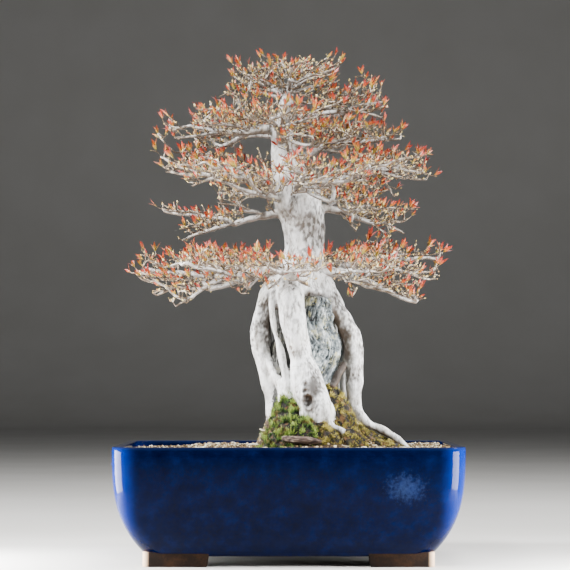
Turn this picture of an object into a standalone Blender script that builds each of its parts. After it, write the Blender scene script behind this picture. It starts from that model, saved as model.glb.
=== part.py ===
"""A root over rock bonsai: a pale old tree whose roots grip an upright stone, in a blue glazed pot.

Metres, +Z up, the front of the pot towards -Y. The origin is on the surface that the feet stand on,
under the middle of the pot. Paths are written in millimetres, because that is how a tree is measured.
"""

import math
import random

import bmesh
import bpy
import numpy as np
from mathutils import Matrix, Vector, noise

MM = 0.001
GAP = 0.0004  # what two pieces that touch are kept apart by
GOLDEN_TURN = 2.39996  # radians that each next body is turned by, so that no two share a plane

POT_LENGTH, POT_DEPTH, POT_HEIGHT = 0.400, 0.300, 0.136
FOOT_HEIGHT = 0.012
POT_TAPER = 0.037  # how far each side draws in from the rim to the bottom
POT_CURVE = 3.2  # how late that happens: the wall stands upright and turns in low down
CORNER_RADIUS = 0.030
CORNER_STEPS = 5
RIM_WIDTH, RIM_ROUND = 0.010, 0.0022
WALL = 0.009
FLOOR_TOP = 0.021
INSIDE_LEVELS = (FLOOR_TOP, 0.032, 0.052, 0.090, 0.134)
FOOT_REACH = (0.166, 0.116)  # from the middle to the outer faces of a foot
FOOT_ARMS = (0.076, 0.056)
FOOT_THICK = 0.024
FOOT_SINK = 0.005  # how far the foot runs up into the pot
FOOT_SLANT = 0.0027
DRAIN_X, DRAIN_RADIUS = 0.085, 0.014
WIRE_HOLES = ((0.045, 0.040), (0.045, -0.040), (-0.045, 0.040), (-0.045, -0.040))
WIRE_HOLE_RADIUS = 0.0025
CUT_SPARE = 0.004  # how far a drill runs out of the floor at both ends

MESH_SIDE, MESH_THICK, MESH_OPENING, MESH_PITCH = 0.046, 0.0014, 0.014, 0.020
DRAINAGE_TOP = 0.036
SOIL_RIM = 0.132
MOUND_X, MOUND_LEFT, MOUND_RIGHT, MOUND_HALF_DEPTH = 0.020, 0.062, 0.115, 0.100
MOUND_RISE = 0.062
SHOULDER_X, SHOULDER_Y, SHOULDER_REACH, SHOULDER_RISE = 0.052, -0.020, 0.044, 0.016
SOIL_RINGS = 7

TWIG_TIP = 0.00075  # radius of a twig where its leaves open
LEAF_LENGTH, LEAF_SPREAD, LEAF_FOOT = 0.0095, 0.0038, 0.0012
SHOOT_SPACING = 0.0262
SUNK_SHARE = 0.45  # how slim a twig starts, so that its end is buried in what it grows from
FORK_SLACK, TWIG_SLACK = 0.22, 0.0011  # how straight a run is made: a share of its radius, and metres
TWIG_STEP = 0.011
LIMB_STEP = 0.014
CLEARANCE = 0.0016  # air left between the twigs of two branches
LINE_STEP = 0.003  # how closely wood is sampled when that is checked
SHOOT_ROOM = 0.0045  # radius that an opened shoot needs about its middle
FOLIAGE_TRIES = 900
CANOPY_REACH = Vector((0.188, 0.138, 0.598))

# Rock sections in mm: height, middle, half width, half depth.
ROCK = (
    (104, 14, 33, 31), (160, 14, 36, 35), (206, 14, 33, 34), (230, 17, 39, 35),
    (246, 20, 42, 36), (262, 21, 38, 35), (276, 20, 32, 34), (295, 21, 30, 31), (307, 27, 22, 24),
    (313, 31, 14, 15),
)
ROCK_SIDES = 18

# Paths in mm: x, y, z, radius, from the top down for roots.
TRUNK = (
    (12, 0, 300, 28), (10, 0, 318, 35), (17, 0, 345, 26), (19, 0, 379, 23.5), (17.5, 0, 402, 26),
    (12, 0, 424, 29), (3, 2, 448, 24), (-2, 3, 468, 21), (-7, 4, 492, 15), (-8, 3, 512, 12.5),
    (-3, 1, 536, 8.5), (-1, 0, 546, 6.5),
)
TRUNK_FORK = ((12, 0, 408, 18), (24, 2, 432, 15), (31, 3, 449, 11), (36, 3, 458, 7))
ROOTS = {
    "left": (
        (-8, -4, 330, 14), (-22, -8, 313, 12.5), (-31, -10, 289, 11), (-34, -12, 271, 11),
        (-33, -13, 248, 10), (-28, -13, 224, 9.5), (-21, -13, 200, 10), (-18, -14, 176, 9.5),
        (-22, -15, 152, 9), (-29, -16, 126, 5),
    ),
    "left_lobe": (
        (-27, -18, 240, 5), (-17, -26, 222, 6), (-9, -31, 204, 7), (-6, -34, 186, 7.5),
        (-8, -36, 164, 6), (-12, -38, 134, 3.5),
    ),
    "thin_front": (
        (-14, -22, 322, 6), (-20, -29, 303, 4.5), (-20, -32, 281, 4), (-14, -36, 254, 4),
        (-7, -38, 230, 4.2), (-2, -39, 206, 4.4), (1, -42, 184, 4.6), (2, -44, 158, 4),
        (2, -46, 130, 3),
    ),
    "front": (
        (6, -16, 330, 22), (1, -30, 318, 17), (2, -36, 301, 16.5), (4, -40, 274, 14),
        (10, -41, 252, 14.5), (15, -41, 234, 15), (20, -41, 214, 19), (24, -43, 198, 20),
        (30, -46, 182, 20), (36, -48, 168, 18), (40, -51, 146, 13), (44, -53, 120, 6),
    ),
    "front_toe": (
        (22, -52, 188, 10), (16, -58, 176, 9.5), (14, -61, 166, 8.5), (14, -64, 154, 6),
        (13, -66, 138, 3.5),
    ),
    "front_stub": ((36, -50, 172, 8), (50, -56, 159, 5), (62, -59, 152, 4), (72, -62, 143, 2.5)),
    "right": (
        (26, -4, 334, 17), (40, -6, 326, 13), (50, -7, 313, 13), (58, -7, 298, 12), (68, -6, 281, 11.5),
        (74, -5, 263, 12), (77, -4, 242, 12), (78, -4, 218, 10.5), (78, -5, 194, 8.5),
        (79, -6, 176, 8.5), (85, -8, 160, 8), (95, -11, 130, 4.5),
    ),
    "right_surface": (
        (80, -10, 178, 6), (90, -14, 163, 5), (106, -18, 155, 4.5), (120, -22, 147, 4),
        (134, -26, 137.5, 3.5), (146, -30, 126, 2.5),
    ),
    "right_cross": (
        (74, -10, 254, 5), (65, -24, 233, 4.5), (54, -33, 208, 4.5), (49, -38, 186, 4.5),
        (47, -42, 160, 4),
    ),
    "back_left": (
        (-6, 8, 330, 14), (-20, 18, 310, 11), (-29, 25, 288, 9), (-30, 28, 258, 8.5),
        (-26, 29, 224, 8.5), (-24, 31, 190, 9.5), (-30, 35, 160, 8), (-38, 40, 132, 4.5),
    ),
    "back": (
        (4, 16, 330, 18), (0, 30, 308, 14), (-3, 38, 282, 12), (0, 40, 250, 12), (2, 41, 216, 13),
        (0, 45, 184, 14), (-4, 52, 156, 10), (-8, 58, 128, 5),
    ),
    "back_right": (
        (24, 14, 332, 16), (38, 28, 310, 12), (46, 36, 284, 11), (51, 38, 252, 10.5),
        (51, 39, 218, 10.5), (52, 43, 186, 11.5), (58, 50, 156, 8.5), (64, 56, 128, 4.5),
    ),
    "far_right": (
        (36, 8, 326, 12), (54, 15, 308, 10), (66, 20, 282, 9), (70, 22, 248, 8.5), (69, 24, 212, 8),
        (72, 28, 182, 8.5), (80, 33, 154, 6.5), (88, 38, 126, 3.5),
    ),
}

# Limbs of each branch in mm: the path out from the trunk, the radii at its two ends, where along it
# the foliage starts, and how wide and how high the foliage stands about it. Those after the first
# grow from the first or from each other.
LIMBS = {
    "branch_low_left": (
        (((4, -2, 336), (-20, -14, 343), (-46, -20, 336), (-77, -24, 332), (-117, -22, 337),
          (-153, -14, 341), (-172, -8, 345)), 9.5, 1.8, 0.3, 30, 26),
        (((-77, -24, 331), (-94, -38, 324), (-116, -46, 307), (-132, -50, 298)),
         3.6, 1.2, 0.25, 24, 14),
        (((-46, -20, 338), (-72, 8, 346), (-102, 30, 350), (-132, 42, 352)), 4.2, 1.3, 0.25, 30, 20),
        (((-60, -22, 334), (-80, -56, 338), (-104, -84, 342)), 3.4, 1.2, 0.25, 28, 18),
    ),
    "branch_low_right": (
        (((20, -2, 334), (42, -6, 340), (62, -10, 338), (83, -14, 333), (109, -18, 322),
          (133, -22, 309), (150, -24, 304)), 8.5, 1.6, 0.38, 26, 20),
        (((54, -8, 340), (76, 3, 350), (104, 8, 358), (133, 8, 356), (163, 5, 358), (180, 2, 359)),
         5.5, 1.6, 0.25, 30, 20),
        (((62, -10, 338), (76, -40, 340), (94, -64, 338), (108, -86, 336)), 4, 1.2, 0.25, 28, 17),
        (((64, -4, 342), (82, 34, 344), (108, 56, 348), (134, 66, 350)), 4, 1.2, 0.25, 30, 18),
    ),
    "branch_low_front": (
        (((6, -16, 343), (-8, -48, 338), (-16, -78, 338), (-24, -108, 341)), 6, 1.4, 0.32, 30, 16),
        (((-10, -54, 338), (14, -82, 338), (34, -106, 338)), 3, 1.1, 0.3, 22, 13),
    ),
    "branch_low_back": (
        (((12, 16, 346), (16, 48, 346), (12, 84, 350), (6, 116, 352)), 7, 1.5, 0.35, 32, 18),
        (((15, 44, 346), (-22, 64, 348), (-58, 84, 350), (-90, 98, 351)), 4.5, 1.2, 0.25, 30, 18),
        (((15, 58, 347), (50, 72, 348), (82, 84, 350), (108, 96, 350)), 4.5, 1.2, 0.25, 30, 18),
    ),
    "branch_mid_left": (
        (((6, 0, 408), (-16, -2, 410), (-41, -4, 405), (-66, -7, 398), (-98, -8, 389), (-124, -6, 379)),
         6.5, 1.4, 0.5, 26, 13),
        (((-60, -6, 400), (-98, 8, 408), (-132, 12, 411), (-150, 14, 415)), 3.6, 1.2, 0.2, 26, 15),
    ),
    "branch_mid_right": (
        (((16, 0, 414), (47, -2, 416), (71, -4, 410), (96, -8, 400), (118, -9, 399), (138, -6, 401)),
         6.5, 1.4, 0.42, 28, 15),
        (((44, -2, 417), (62, 12, 428), (84, 18, 432), (104, 20, 430)), 3.4, 1.2, 0.2, 24, 13),
        (((69, -8, 411), (79, -33, 412), (92, -56, 410)), 3, 1.1, 0.3, 24, 13),
    ),
    "branch_upper_left": (
        (((0, 2, 438), (-20, 0, 444), (-40, -4, 453), (-60, -8, 457), (-92, -10, 455), (-124, -4, 464),
          (-152, 2, 479)), 7, 1.5, 0.34, 32, 20),
        (((-78, -10, 455), (-98, -24, 448), (-114, -32, 441)), 3, 1.1, 0.25, 22, 12),
        (((-50, -6, 456), (-76, 24, 462), (-104, 42, 468), (-128, 50, 472)), 3.8, 1.2, 0.2, 28, 18),
    ),
    "branch_front_left": (
        (((0, -12, 428), (-24, -24, 429), (-46, -42, 433), (-68, -58, 440), (-86, -70, 445)),
         5, 1.3, 0.28, 30, 18),
        (((-30, -28, 430), (-40, -62, 436), (-46, -92, 442)), 3, 1.1, 0.3, 25, 15),
    ),
    "branch_front": (
        (((12, -20, 440), (14, -48, 445), (18, -80, 449), (20, -110, 451)), 6, 1.4, 0.35, 27, 15),
        (((14, -44, 445), (44, -62, 442), (70, -78, 442), (90, -88, 442)), 3.6, 1.2, 0.2, 27, 16),
    ),
    "branch_mid_back": (
        (((6, 18, 434), (2, 48, 438), (-4, 84, 442), (-8, 110, 444)), 6, 1.4, 0.35, 30, 18),
        (((3, 44, 438), (-32, 62, 440), (-64, 78, 442), (-88, 88, 444)), 4, 1.2, 0.25, 28, 17),
        (((3, 48, 438), (38, 66, 440), (70, 78, 442), (96, 84, 442)), 4, 1.2, 0.25, 28, 17),
    ),
    "branch_upper_right": (
        (((30, 3, 447), (58, 0, 449), (86, -4, 460), (122, -6, 463), (158, -4, 460)),
         7, 1.5, 0.25, 30, 17),
        (((58, 0, 450), (80, 26, 458), (104, 40, 462), (126, 48, 464)), 3.6, 1.2, 0.2, 28, 17),
        (((64, 0, 452), (84, -30, 458), (104, -52, 462)), 3.2, 1.1, 0.25, 26, 16),
    ),
    "branch_shoulder_right": (
        (((0, 4, 470), (20, 5, 480), (38, 8, 490), (60, 10, 496), (88, 10, 498), (116, 8, 500),
          (134, 6, 501)), 5.5, 1.4, 0.28, 32, 17),
        (((40, 8, 490), (60, -22, 496), (82, -44, 500)), 3.2, 1.1, 0.2, 28, 16),
        (((40, 8, 490), (58, 36, 496), (80, 54, 500)), 3.2, 1.1, 0.2, 28, 16),
    ),
    "branch_high_left": (
        (((-8, 3, 510), (-32, 0, 512), (-64, -6, 507), (-100, -10, 511), (-122, -8, 515),
          (-140, -5, 511)), 6, 1.4, 0.25, 34, 19),
        (((-34, 0, 513), (-52, 8, 528), (-74, 12, 536), (-92, 12, 540)), 3.8, 1.2, 0.2, 26, 18),
        (((-44, -4, 511), (-70, 22, 498), (-96, 32, 494), (-114, 34, 492)), 3.2, 1.1, 0.3, 26, 14),
        (((-44, -4, 511), (-64, -32, 512), (-86, -52, 514)), 3.2, 1.1, 0.2, 26, 16),
    ),
    "branch_high_right": (
        (((-2, 2, 524), (22, 0, 526), (45, -4, 531), (70, -6, 533), (92, -6, 531), (110, -4, 526)),
         5, 1.3, 0.28, 30, 19),
        (((24, 0, 527), (44, 8, 546), (64, 10, 556), (82, 10, 562)), 3.4, 1.1, 0.2, 24, 16),
        (((30, 0, 528), (50, 28, 532), (72, 44, 534)), 3, 1.1, 0.2, 26, 16),
    ),
    "branch_high_front": (
        (((-8, -8, 500), (-12, -34, 508), (-18, -62, 514), (-22, -86, 516)), 4.5, 1.2, 0.3, 28, 16),
        (((-13, -38, 509), (12, -58, 514), (34, -72, 518)), 2.8, 1, 0.2, 24, 15),
    ),
    "branch_high_back": (
        (((-8, 10, 502), (-12, 38, 508), (-14, 68, 514), (-14, 94, 516)), 5, 1.3, 0.3, 28, 17),
        (((-12, 36, 508), (-38, 52, 510), (-64, 66, 512)), 3.2, 1.1, 0.2, 26, 16),
        (((-12, 38, 508), (16, 54, 512), (42, 66, 516)), 3.2, 1.1, 0.2, 26, 16),
    ),
    "crown": (
        (((-2, 0, 540), (0, -1, 556), (3, -2, 570), (-2, 0, 584), (-8, 2, 592)), 6, 1.2, 0.5, 18, 8),
        (((-1, -1, 550), (-20, 4, 562), (-38, 6, 571), (-52, 6, 577)), 3.6, 1.1, 0.25, 24, 13),
        (((0, -1, 556), (-12, -8, 574), (-27, -12, 585)), 3, 1.1, 0.35, 20, 10),
        (((3, -2, 568), (16, 4, 582), (26, 6, 590)), 3, 1.1, 0.35, 20, 10),
        (((2, -2, 562), (26, -5, 572), (44, -8, 579), (56, -8, 584)), 3.4, 1.1, 0.25, 24, 13),
        (((0, -1, 556), (8, 24, 568), (10, 44, 574)), 3, 1.1, 0.3, 28, 14),
        (((1, -2, 560), (2, -26, 568), (2, -46, 570)), 3, 1.1, 0.3, 28, 14),
    ),
}

# Moss cushions in mm: middle x and y, half sizes, thickness. Their profile: share of the half size, and
# share of the thickness above the ground, or of how deep they are sunk where it is negative.
MOSS = {
    "moss_left": (-8, -56, 22, 27, 9),
    "moss_front": (43, -70, 17, 11, 7),
    "moss_right": (60, -32, 19, 19, 12),
    "moss_slope": (110, -24, 26, 23, 6),
    "moss_cushion": (78, -67, 14, 13, 13),
    "moss_back": (26, 76, 38, 20, 8),
}
MOSS_PROFILE = ((0.1, -1), (1.0, -0.3), (1.0, 0.4), (0.82, 0.8), (0.45, 1.0), (0.1, 1.04))
MOSS_SIDES = 12
MOSS_SINK = 0.006
MOSS_FOOT = 3  # the room under a cushion is this much deeper than beside it, as slopes need
BARK_PATH = ((-8, -82, 145, 3.5), (6, -87, 143.5, 5), (22, -89, 142.5, 5), (38, -87, 141, 3))


def principled(name, colour, roughness, coat=0.0):
    material = bpy.data.materials.new(name)
    material.use_nodes = True
    shader = material.node_tree.nodes["Principled BSDF"]
    shader.inputs["Base Color"].default_value = (*colour, 1)
    shader.inputs["Roughness"].default_value = roughness
    shader.inputs["Coat Weight"].default_value = coat
    return material


def add_object(name, verts, faces, material, collection):
    mesh = bpy.data.meshes.new(name)
    mesh.from_pydata([tuple(v) for v in verts], [], faces)
    mesh.validate()
    if material:
        mesh.materials.append(material)
    obj = bpy.data.objects.new(name, mesh)
    collection.objects.link(obj)
    return obj


def smooth_shaded(obj, angle=50):
    obj.data.shade_smooth()
    obj.data.set_sharp_from_angle(angle=math.radians(angle))


def side_faces(rings, count):
    """The sides between rings, as triangles, so that a body and the room cut for it bend alike."""
    faces = []
    for low in range(0, count * (rings - 1), count):
        for k in range(count):
            after = (k + 1) % count
            faces.append((low + k, low + after, low + count + after))
            faces.append((low + k, low + count + after, low + count + k))
    return faces


def loft(rings):
    """A closed body through rings of the same number of points that run up, each counterclockwise
    when seen from above."""
    count = len(rings[0])
    verts = [point for ring in rings for point in ring]
    caps = [tuple(reversed(range(count))), tuple(range(len(verts) - count, len(verts)))]
    return verts, side_faces(len(rings), count) + caps


def sweep(rows, sides, rough=0.0, seed=0, grow=0.0, leaves=False):
    """A closed body of rings along rows of x, y, z and radius. With leaves, its far end opens into a
    narrow leaf on each side of the last ring, round a low bud."""
    points = [Vector(row[:3]) for row in rows]
    last = len(points) - 1
    first_way = (points[1] - points[0]).normalized()
    normal = Matrix.Rotation(seed * GOLDEN_TURN, 3, first_way) @ first_way.orthogonal().normalized()
    verts, faces = [], [tuple(reversed(range(sides))), *side_faces(len(points), sides)]
    for i, point in enumerate(points):
        tangent = (points[min(i + 1, last)] - points[max(i - 1, 0)]).normalized()
        normal = (normal - tangent * normal.dot(tangent)).normalized()
        across = tangent.cross(normal)
        middle = point + tangent * grow * ((i == last) - (i == 0))
        for k in range(sides):
            turn = math.tau * k / sides
            place = Vector((math.cos(turn) * 1.3, math.sin(turn) * 1.3, i * 0.8 + seed * 7.3))
            radius = rows[i][3] * (1 + rough * noise.noise(place)) + grow
            if leaves and i == last:
                radius = LEAF_FOOT
            verts.append(middle + (normal * math.cos(turn) + across * math.sin(turn)) * radius)
    foot = sides * last
    if not leaves:
        return verts, faces + [tuple(range(foot, foot + sides))]
    bud = len(verts)
    verts.append(middle + tangent * LEAF_FOOT * 0.7)
    for k in range(sides):
        after = (k + 1) % sides
        outward = (verts[foot + k] + verts[foot + after]) / 2 - middle
        long = LEAF_LENGTH * (1 + 0.18 * noise.noise(Vector((seed * 1.7, k * 3.1, 0.5))))
        verts.append(middle + tangent * long + outward.normalized() * LEAF_SPREAD)
        tip = len(verts) - 1
        faces += [(foot + k, foot + after, tip), (foot + after, bud, tip), (bud, foot + k, tip)]
    return verts, faces


def applied(obj):
    """Leaves on the object the mesh that its modifiers make."""
    graph = bpy.context.evaluated_depsgraph_get()
    made = bpy.data.meshes.new_from_object(obj.evaluated_get(graph))
    obj.modifiers.clear()
    worn, obj.data = obj.data, made
    bpy.data.meshes.remove(worn)
    return obj


def boolean(obj, operation, other):
    """Joins an object or a collection of them to this one, or cuts it away."""
    modifier = obj.modifiers.new(operation.title(), "BOOLEAN")
    modifier.operation = operation
    modifier.solver = "MANIFOLD"
    if isinstance(other, bpy.types.Collection):
        modifier.operand_type = "COLLECTION"
        modifier.collection = other
    else:
        modifier.object = other
    return modifier


def fused(name, bodies, material, collection):
    """One body from overlapping ones, given as their points and faces."""
    helpers = bpy.data.collections.new(name + "_pieces")
    bpy.context.scene.collection.children.link(helpers)
    joined = add_object(name, *bodies[0], material, collection)
    for body in bodies[1:]:
        add_object(name + "_piece", *body, material, helpers)
    if len(bodies) > 1:
        boolean(joined, "UNION", helpers)
        applied(joined)
    for piece in list(helpers.objects):
        bpy.data.objects.remove(piece)
    bpy.data.collections.remove(helpers)
    return joined


def largest_body(obj):
    """Drops the scraps that a cut leaves, so that one body stays."""
    shape = bmesh.new()
    shape.from_mesh(obj.data)
    unseen, bodies = set(shape.verts), []
    while unseen:
        edge_of_search = [unseen.pop()]
        body = set(edge_of_search)
        while edge_of_search:
            for edge in edge_of_search.pop().link_edges:
                for vert in edge.verts:
                    if vert in unseen:
                        unseen.remove(vert)
                        body.add(vert)
                        edge_of_search.append(vert)
        bodies.append(body)
    bodies.sort(key=len)
    for scrap in bodies[:-1]:
        bmesh.ops.delete(shape, geom=list(scrap), context="VERTS")
    shape.to_mesh(obj.data)
    shape.free()


def rounded_rectangle(half_x, half_y, radius, height):
    """Its points counterclockwise, with CORNER_STEPS to each corner."""
    points = []
    for quarter, (sx, sy) in enumerate(((1, 1), (-1, 1), (-1, -1), (1, -1))):
        for step in range(CORNER_STEPS + 1):
            turn = (quarter + step / CORNER_STEPS) * math.pi / 2
            points.append((sx * (half_x - radius) + radius * math.cos(turn),
                           sy * (half_y - radius) + radius * math.sin(turn), height))
    return points


def draw_in(height):
    """How far the pot's side stands in from its rim at this height."""
    return POT_TAPER * ((POT_HEIGHT - height) / (POT_HEIGHT - FOOT_HEIGHT)) ** POT_CURVE


def pot_ring(inset, height):
    half_x, half_y = POT_LENGTH / 2 - inset, POT_DEPTH / 2 - inset
    return rounded_rectangle(half_x, half_y, CORNER_RADIUS - inset * 0.25, height)


def inside_ring(height, clear=0.0):
    """The inner face of the wall, straight between its levels, or a section that stays clear of it."""
    insets = [max(draw_in(level) + WALL, RIM_WIDTH) for level in INSIDE_LEVELS]
    return pot_ring(float(np.interp(height, INSIDE_LEVELS, insets)) + clear, height)


def foot_outline(slant, height):
    """The plan of a foot, an L round the pot's corner, counterclockwise."""
    far_x, far_y = FOOT_REACH
    near_x, near_y = far_x - FOOT_ARMS[0] + slant, far_y - FOOT_ARMS[1] + slant
    round_corner = 0.010
    outline = [(near_x, far_y), (near_x, far_y - FOOT_THICK), (far_x - FOOT_THICK, far_y - FOOT_THICK),
               (far_x - FOOT_THICK, near_y), (far_x, near_y)]
    for step in range(4):
        turn = step / 3 * math.pi / 2
        outline.append((far_x - round_corner * (1 - math.cos(turn)),
                        far_y - round_corner * (1 - math.sin(turn))))
    return [(x, y, height) for x, y in outline]


def mirrored(body, sx, sy):
    verts, faces = body
    turned = [(x * sx, y * sy, z) for x, y, z in verts]
    return turned, faces if sx * sy > 0 else [tuple(reversed(face)) for face in faces]


def cylinder(x, y, low, high, radius, sides, collection):
    bpy.ops.mesh.primitive_cylinder_add(vertices=sides, radius=radius, depth=high - low,
                                        location=(x, y, (low + high) / 2))
    return moved_to(bpy.context.object, collection)


def moved_to(obj, collection):
    for owner in list(obj.users_collection):
        owner.objects.unlink(obj)
    collection.objects.link(obj)
    return obj


def make_pot(glaze, collection, cutters):
    heights = [FOOT_HEIGHT + (POT_HEIGHT - RIM_ROUND - FOOT_HEIGHT) * (i / 7) ** 1.7 for i in range(8)]
    rings = [pot_ring(draw_in(height), height) for height in heights]
    rings.append(pot_ring(RIM_ROUND * 0.3, POT_HEIGHT - RIM_ROUND * 0.3))
    rings.append(pot_ring(RIM_ROUND, POT_HEIGHT))
    rings.append(pot_ring(RIM_WIDTH - RIM_ROUND, POT_HEIGHT))
    rings += [inside_ring(height) for height in reversed(INSIDE_LEVELS)]
    foot = loft([foot_outline(FOOT_SLANT, 0), foot_outline(0, FOOT_HEIGHT + FOOT_SINK)])
    feet = [mirrored(foot, sx, sy) for sx in (1, -1) for sy in (1, -1)]
    pot = fused("pot", [loft(rings), *feet], glaze, collection)
    drill = bpy.data.collections.new("drill")
    cutters.children.link(drill)
    for x in (-DRAIN_X, DRAIN_X):
        cylinder(x, 0, FOOT_HEIGHT - CUT_SPARE, FLOOR_TOP + CUT_SPARE, DRAIN_RADIUS, 20, drill)
    for x, y in WIRE_HOLES:
        cylinder(x, y, FOOT_HEIGHT - CUT_SPARE, FLOOR_TOP + CUT_SPARE, WIRE_HOLE_RADIUS, 8, drill)
    for cutter in drill.objects:
        cutter.hide_render = True
        cutter.display_type = "WIRE"
    boolean(pot, "DIFFERENCE", drill)
    applied(pot)
    smooth_shaded(pot)
    return pot


def make_drain_mesh(name, x, plastic, collection):
    """A square of moulded mesh over a drain hole: a plate with four square openings."""
    half = MESH_SIDE / 2
    low = FLOOR_TOP + GAP
    bpy.ops.mesh.primitive_cube_add(size=1, location=(x, 0, low + MESH_THICK / 2))
    plate = moved_to(bpy.context.object, collection)
    plate.name = plate.data.name = name
    plate.data.transform(Matrix.Diagonal((2 * half, 2 * half, MESH_THICK, 1)))
    plate.data.materials.append(plastic)
    openings = bpy.data.collections.new(name + "_openings")
    bpy.context.scene.collection.children.link(openings)
    for i in (-0.5, 0.5):
        for j in (-0.5, 0.5):
            place = (x + i * MESH_PITCH, j * MESH_PITCH, low)
            bpy.ops.mesh.primitive_cube_add(size=MESH_OPENING, location=place)
            moved_to(bpy.context.object, openings)
    boolean(plate, "DIFFERENCE", openings)
    applied(plate)
    for opening in list(openings.objects):
        bpy.data.objects.remove(opening)
    bpy.data.collections.remove(openings)
    return plate


def make_drainage(grit, collection, cutters):
    """The coarse layer on the pot's floor, with a shallow pocket over each mesh."""
    levels = (FLOOR_TOP + GAP, 0.032, DRAINAGE_TOP)
    layer = add_object("drainage_layer", *loft([inside_ring(z, GAP) for z in levels]), grit, collection)
    pockets = bpy.data.collections.new("pockets")
    cutters.children.link(pockets)
    for x in (-DRAIN_X, DRAIN_X):
        bpy.ops.mesh.primitive_cube_add(size=1, location=(x, 0, FLOOR_TOP))
        pocket = moved_to(bpy.context.object, pockets)
        pocket.scale = (MESH_SIDE + 4 * GAP, MESH_SIDE + 4 * GAP, 2 * (MESH_THICK + 3 * GAP))
        pocket.hide_render = True
        pocket.display_type = "WIRE"
    boolean(layer, "DIFFERENCE", pockets)
    applied(layer)
    return layer


def smoothstep(low, high, value):
    share = min(max((value - low) / (high - low), 0), 1)
    return share * share * (3 - 2 * share)


def ground(x, y):
    """Height of the soil: level near the rim, and a mound round the rock, steep on its left, with a
    shoulder between the front root and the right one."""
    across = (x - MOUND_X) / (MOUND_RIGHT if x > MOUND_X else MOUND_LEFT)
    along = y / MOUND_HALF_DEPTH
    away = math.hypot(across, along)
    rightward = (1 + across / away) / 2 if away else 0.5
    rise = MOUND_RISE * (1 - smoothstep(0.5 * (1 - rightward), 1, away))
    side = math.hypot(x - SHOULDER_X, y - SHOULDER_Y) / SHOULDER_REACH
    shoulder = SHOULDER_RISE * (1 - smoothstep(0, 1, side))
    lumps = noise.noise(Vector((x, y, 0)) * 45) * 0.0016
    return SOIL_RIM + rise + shoulder + lumps


def make_soil(earth, collection):
    levels = (DRAINAGE_TOP + GAP, 0.052, 0.090)
    rings = [inside_ring(z, GAP) for z in levels]
    edge = inside_ring(SOIL_RIM, GAP)
    for i in range(SOIL_RINGS):
        share = 1 - (i / SOIL_RINGS) ** 0.85
        ring = [(MOUND_X * (1 - share) + x * share, y * share) for x, y, _ in edge]
        rings.append([(x, y, ground(x, y)) for x, y in ring])
    return add_object("soil", *loft(rings), earth, collection)


def rock_body(grow=0.0):
    """The stone: sections that change with height, cut by upright ridges and ledges."""
    rings = []
    for height, middle, half_x, half_y in ROCK:
        ring = []
        for k in range(ROCK_SIDES):
            turn = math.tau * k / ROCK_SIDES
            place = Vector((math.cos(turn) * 2.1, math.sin(turn) * 2.1, height * 0.012))
            ridge = 1 + 0.16 * noise.noise(place) + 0.05 * noise.noise(place * 2.7)
            square = (abs(math.cos(turn)) ** 2.6 + abs(math.sin(turn)) ** 2.6) ** (-1 / 2.6)
            ring.append(((middle + half_x * ridge * square * math.cos(turn)) * MM + grow * math.cos(turn),
                         half_y * ridge * square * math.sin(turn) * MM + grow * math.sin(turn),
                         height * MM + grow * ((height == ROCK[-1][0]) - (height == ROCK[0][0]))))
        rings.append(ring)
    return loft(rings)


def metres(rows):
    return [tuple(value * MM for value in row) for row in rows]


def tree_bodies(grow=0.0):
    """The trunk, its fork and the roots, each a rough tapering body that runs into the next."""
    bodies = [sweep(metres(TRUNK), 11, 0.10, 1, grow), sweep(metres(TRUNK_FORK), 8, 0.08, 2, grow)]
    for number, rows in enumerate(ROOTS.values()):
        thick = max(row[3] for row in rows)
        sides = 8 if thick > 12 else 6 if thick > 7 else 5
        bodies.append(sweep(metres(rows), sides, 0.16, 3 + number, grow))
    return bodies


def smooth_path(rows, step):
    """Points about a step apart along a smooth curve through the rows."""
    rows = [np.array(row, float) for row in rows]
    path = []
    for i in range(len(rows) - 1):
        before, after = rows[max(i - 1, 0)], rows[min(i + 2, len(rows) - 1)]
        start, end = rows[i], rows[i + 1]
        count = max(1, round(float(np.linalg.norm((end - start)[:3])) / step))
        for k in range(count):
            t = k / count
            path.append(0.5 * (2 * start + (end - before) * t
                               + (2 * before - 5 * start + 4 * end - after) * t ** 2
                               + (3 * start - before - 3 * end + after) * t ** 3))
    path.append(rows[-1])
    return path


def limb_rows(limb):
    """A limb's points and radii, tapering quickly at first."""
    path, thick, thin = limb[:3]
    points = smooth_path([tuple(v * MM for v in point) for point in path], LIMB_STEP)
    last = len(points) - 1
    radii = [(thin + (thick - thin) * (1 - i / last) ** 1.3) * MM for i in range(len(points))]
    return [(*point, radius) for point, radius in zip(points, radii)]


def foliage_points(limb, draw, spacing, taken):
    """Where shoots end about a limb: spread to both sides, domed, and most of them near the top."""
    _, _, _, start, spread, rise = limb
    rows = limb_rows(limb)
    found = []
    for _ in range(FOLIAGE_TRIES):
        share = start + (1.05 - start) * draw.random()
        place = min(share, 0.999) * (len(rows) - 1)
        i = int(place)
        here, there = np.array(rows[i][:3]), np.array(rows[i + 1][:3])
        ahead = there - here
        length = np.linalg.norm(ahead)
        aside = np.array((ahead[1], -ahead[0], 0)) / max(np.hypot(ahead[0], ahead[1]), 1e-6)
        part = (share - start) / (1.05 - start)
        width = spread * MM * (0.45 + 0.75 * math.sin(math.pi * min(0.12 + 0.78 * part, 1)))
        offset = 2 * draw.random() - 1
        lift = draw.random() ** 0.6
        point = here + ahead * (place - i) + ahead / length * max(share - 0.999, 0) * 0.12
        point = point + aside * offset * width
        point[2] += rise * MM * (0.12 + 0.88 * lift) * (1 - 0.55 * offset * offset)
        if np.any(np.abs(point) > CANOPY_REACH):
            continue
        if taken and np.min(np.sum((np.array(taken) - point) ** 2, axis=1)) < spacing ** 2:
            continue
        taken.append(point)
        found.append(point)
    return found


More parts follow.
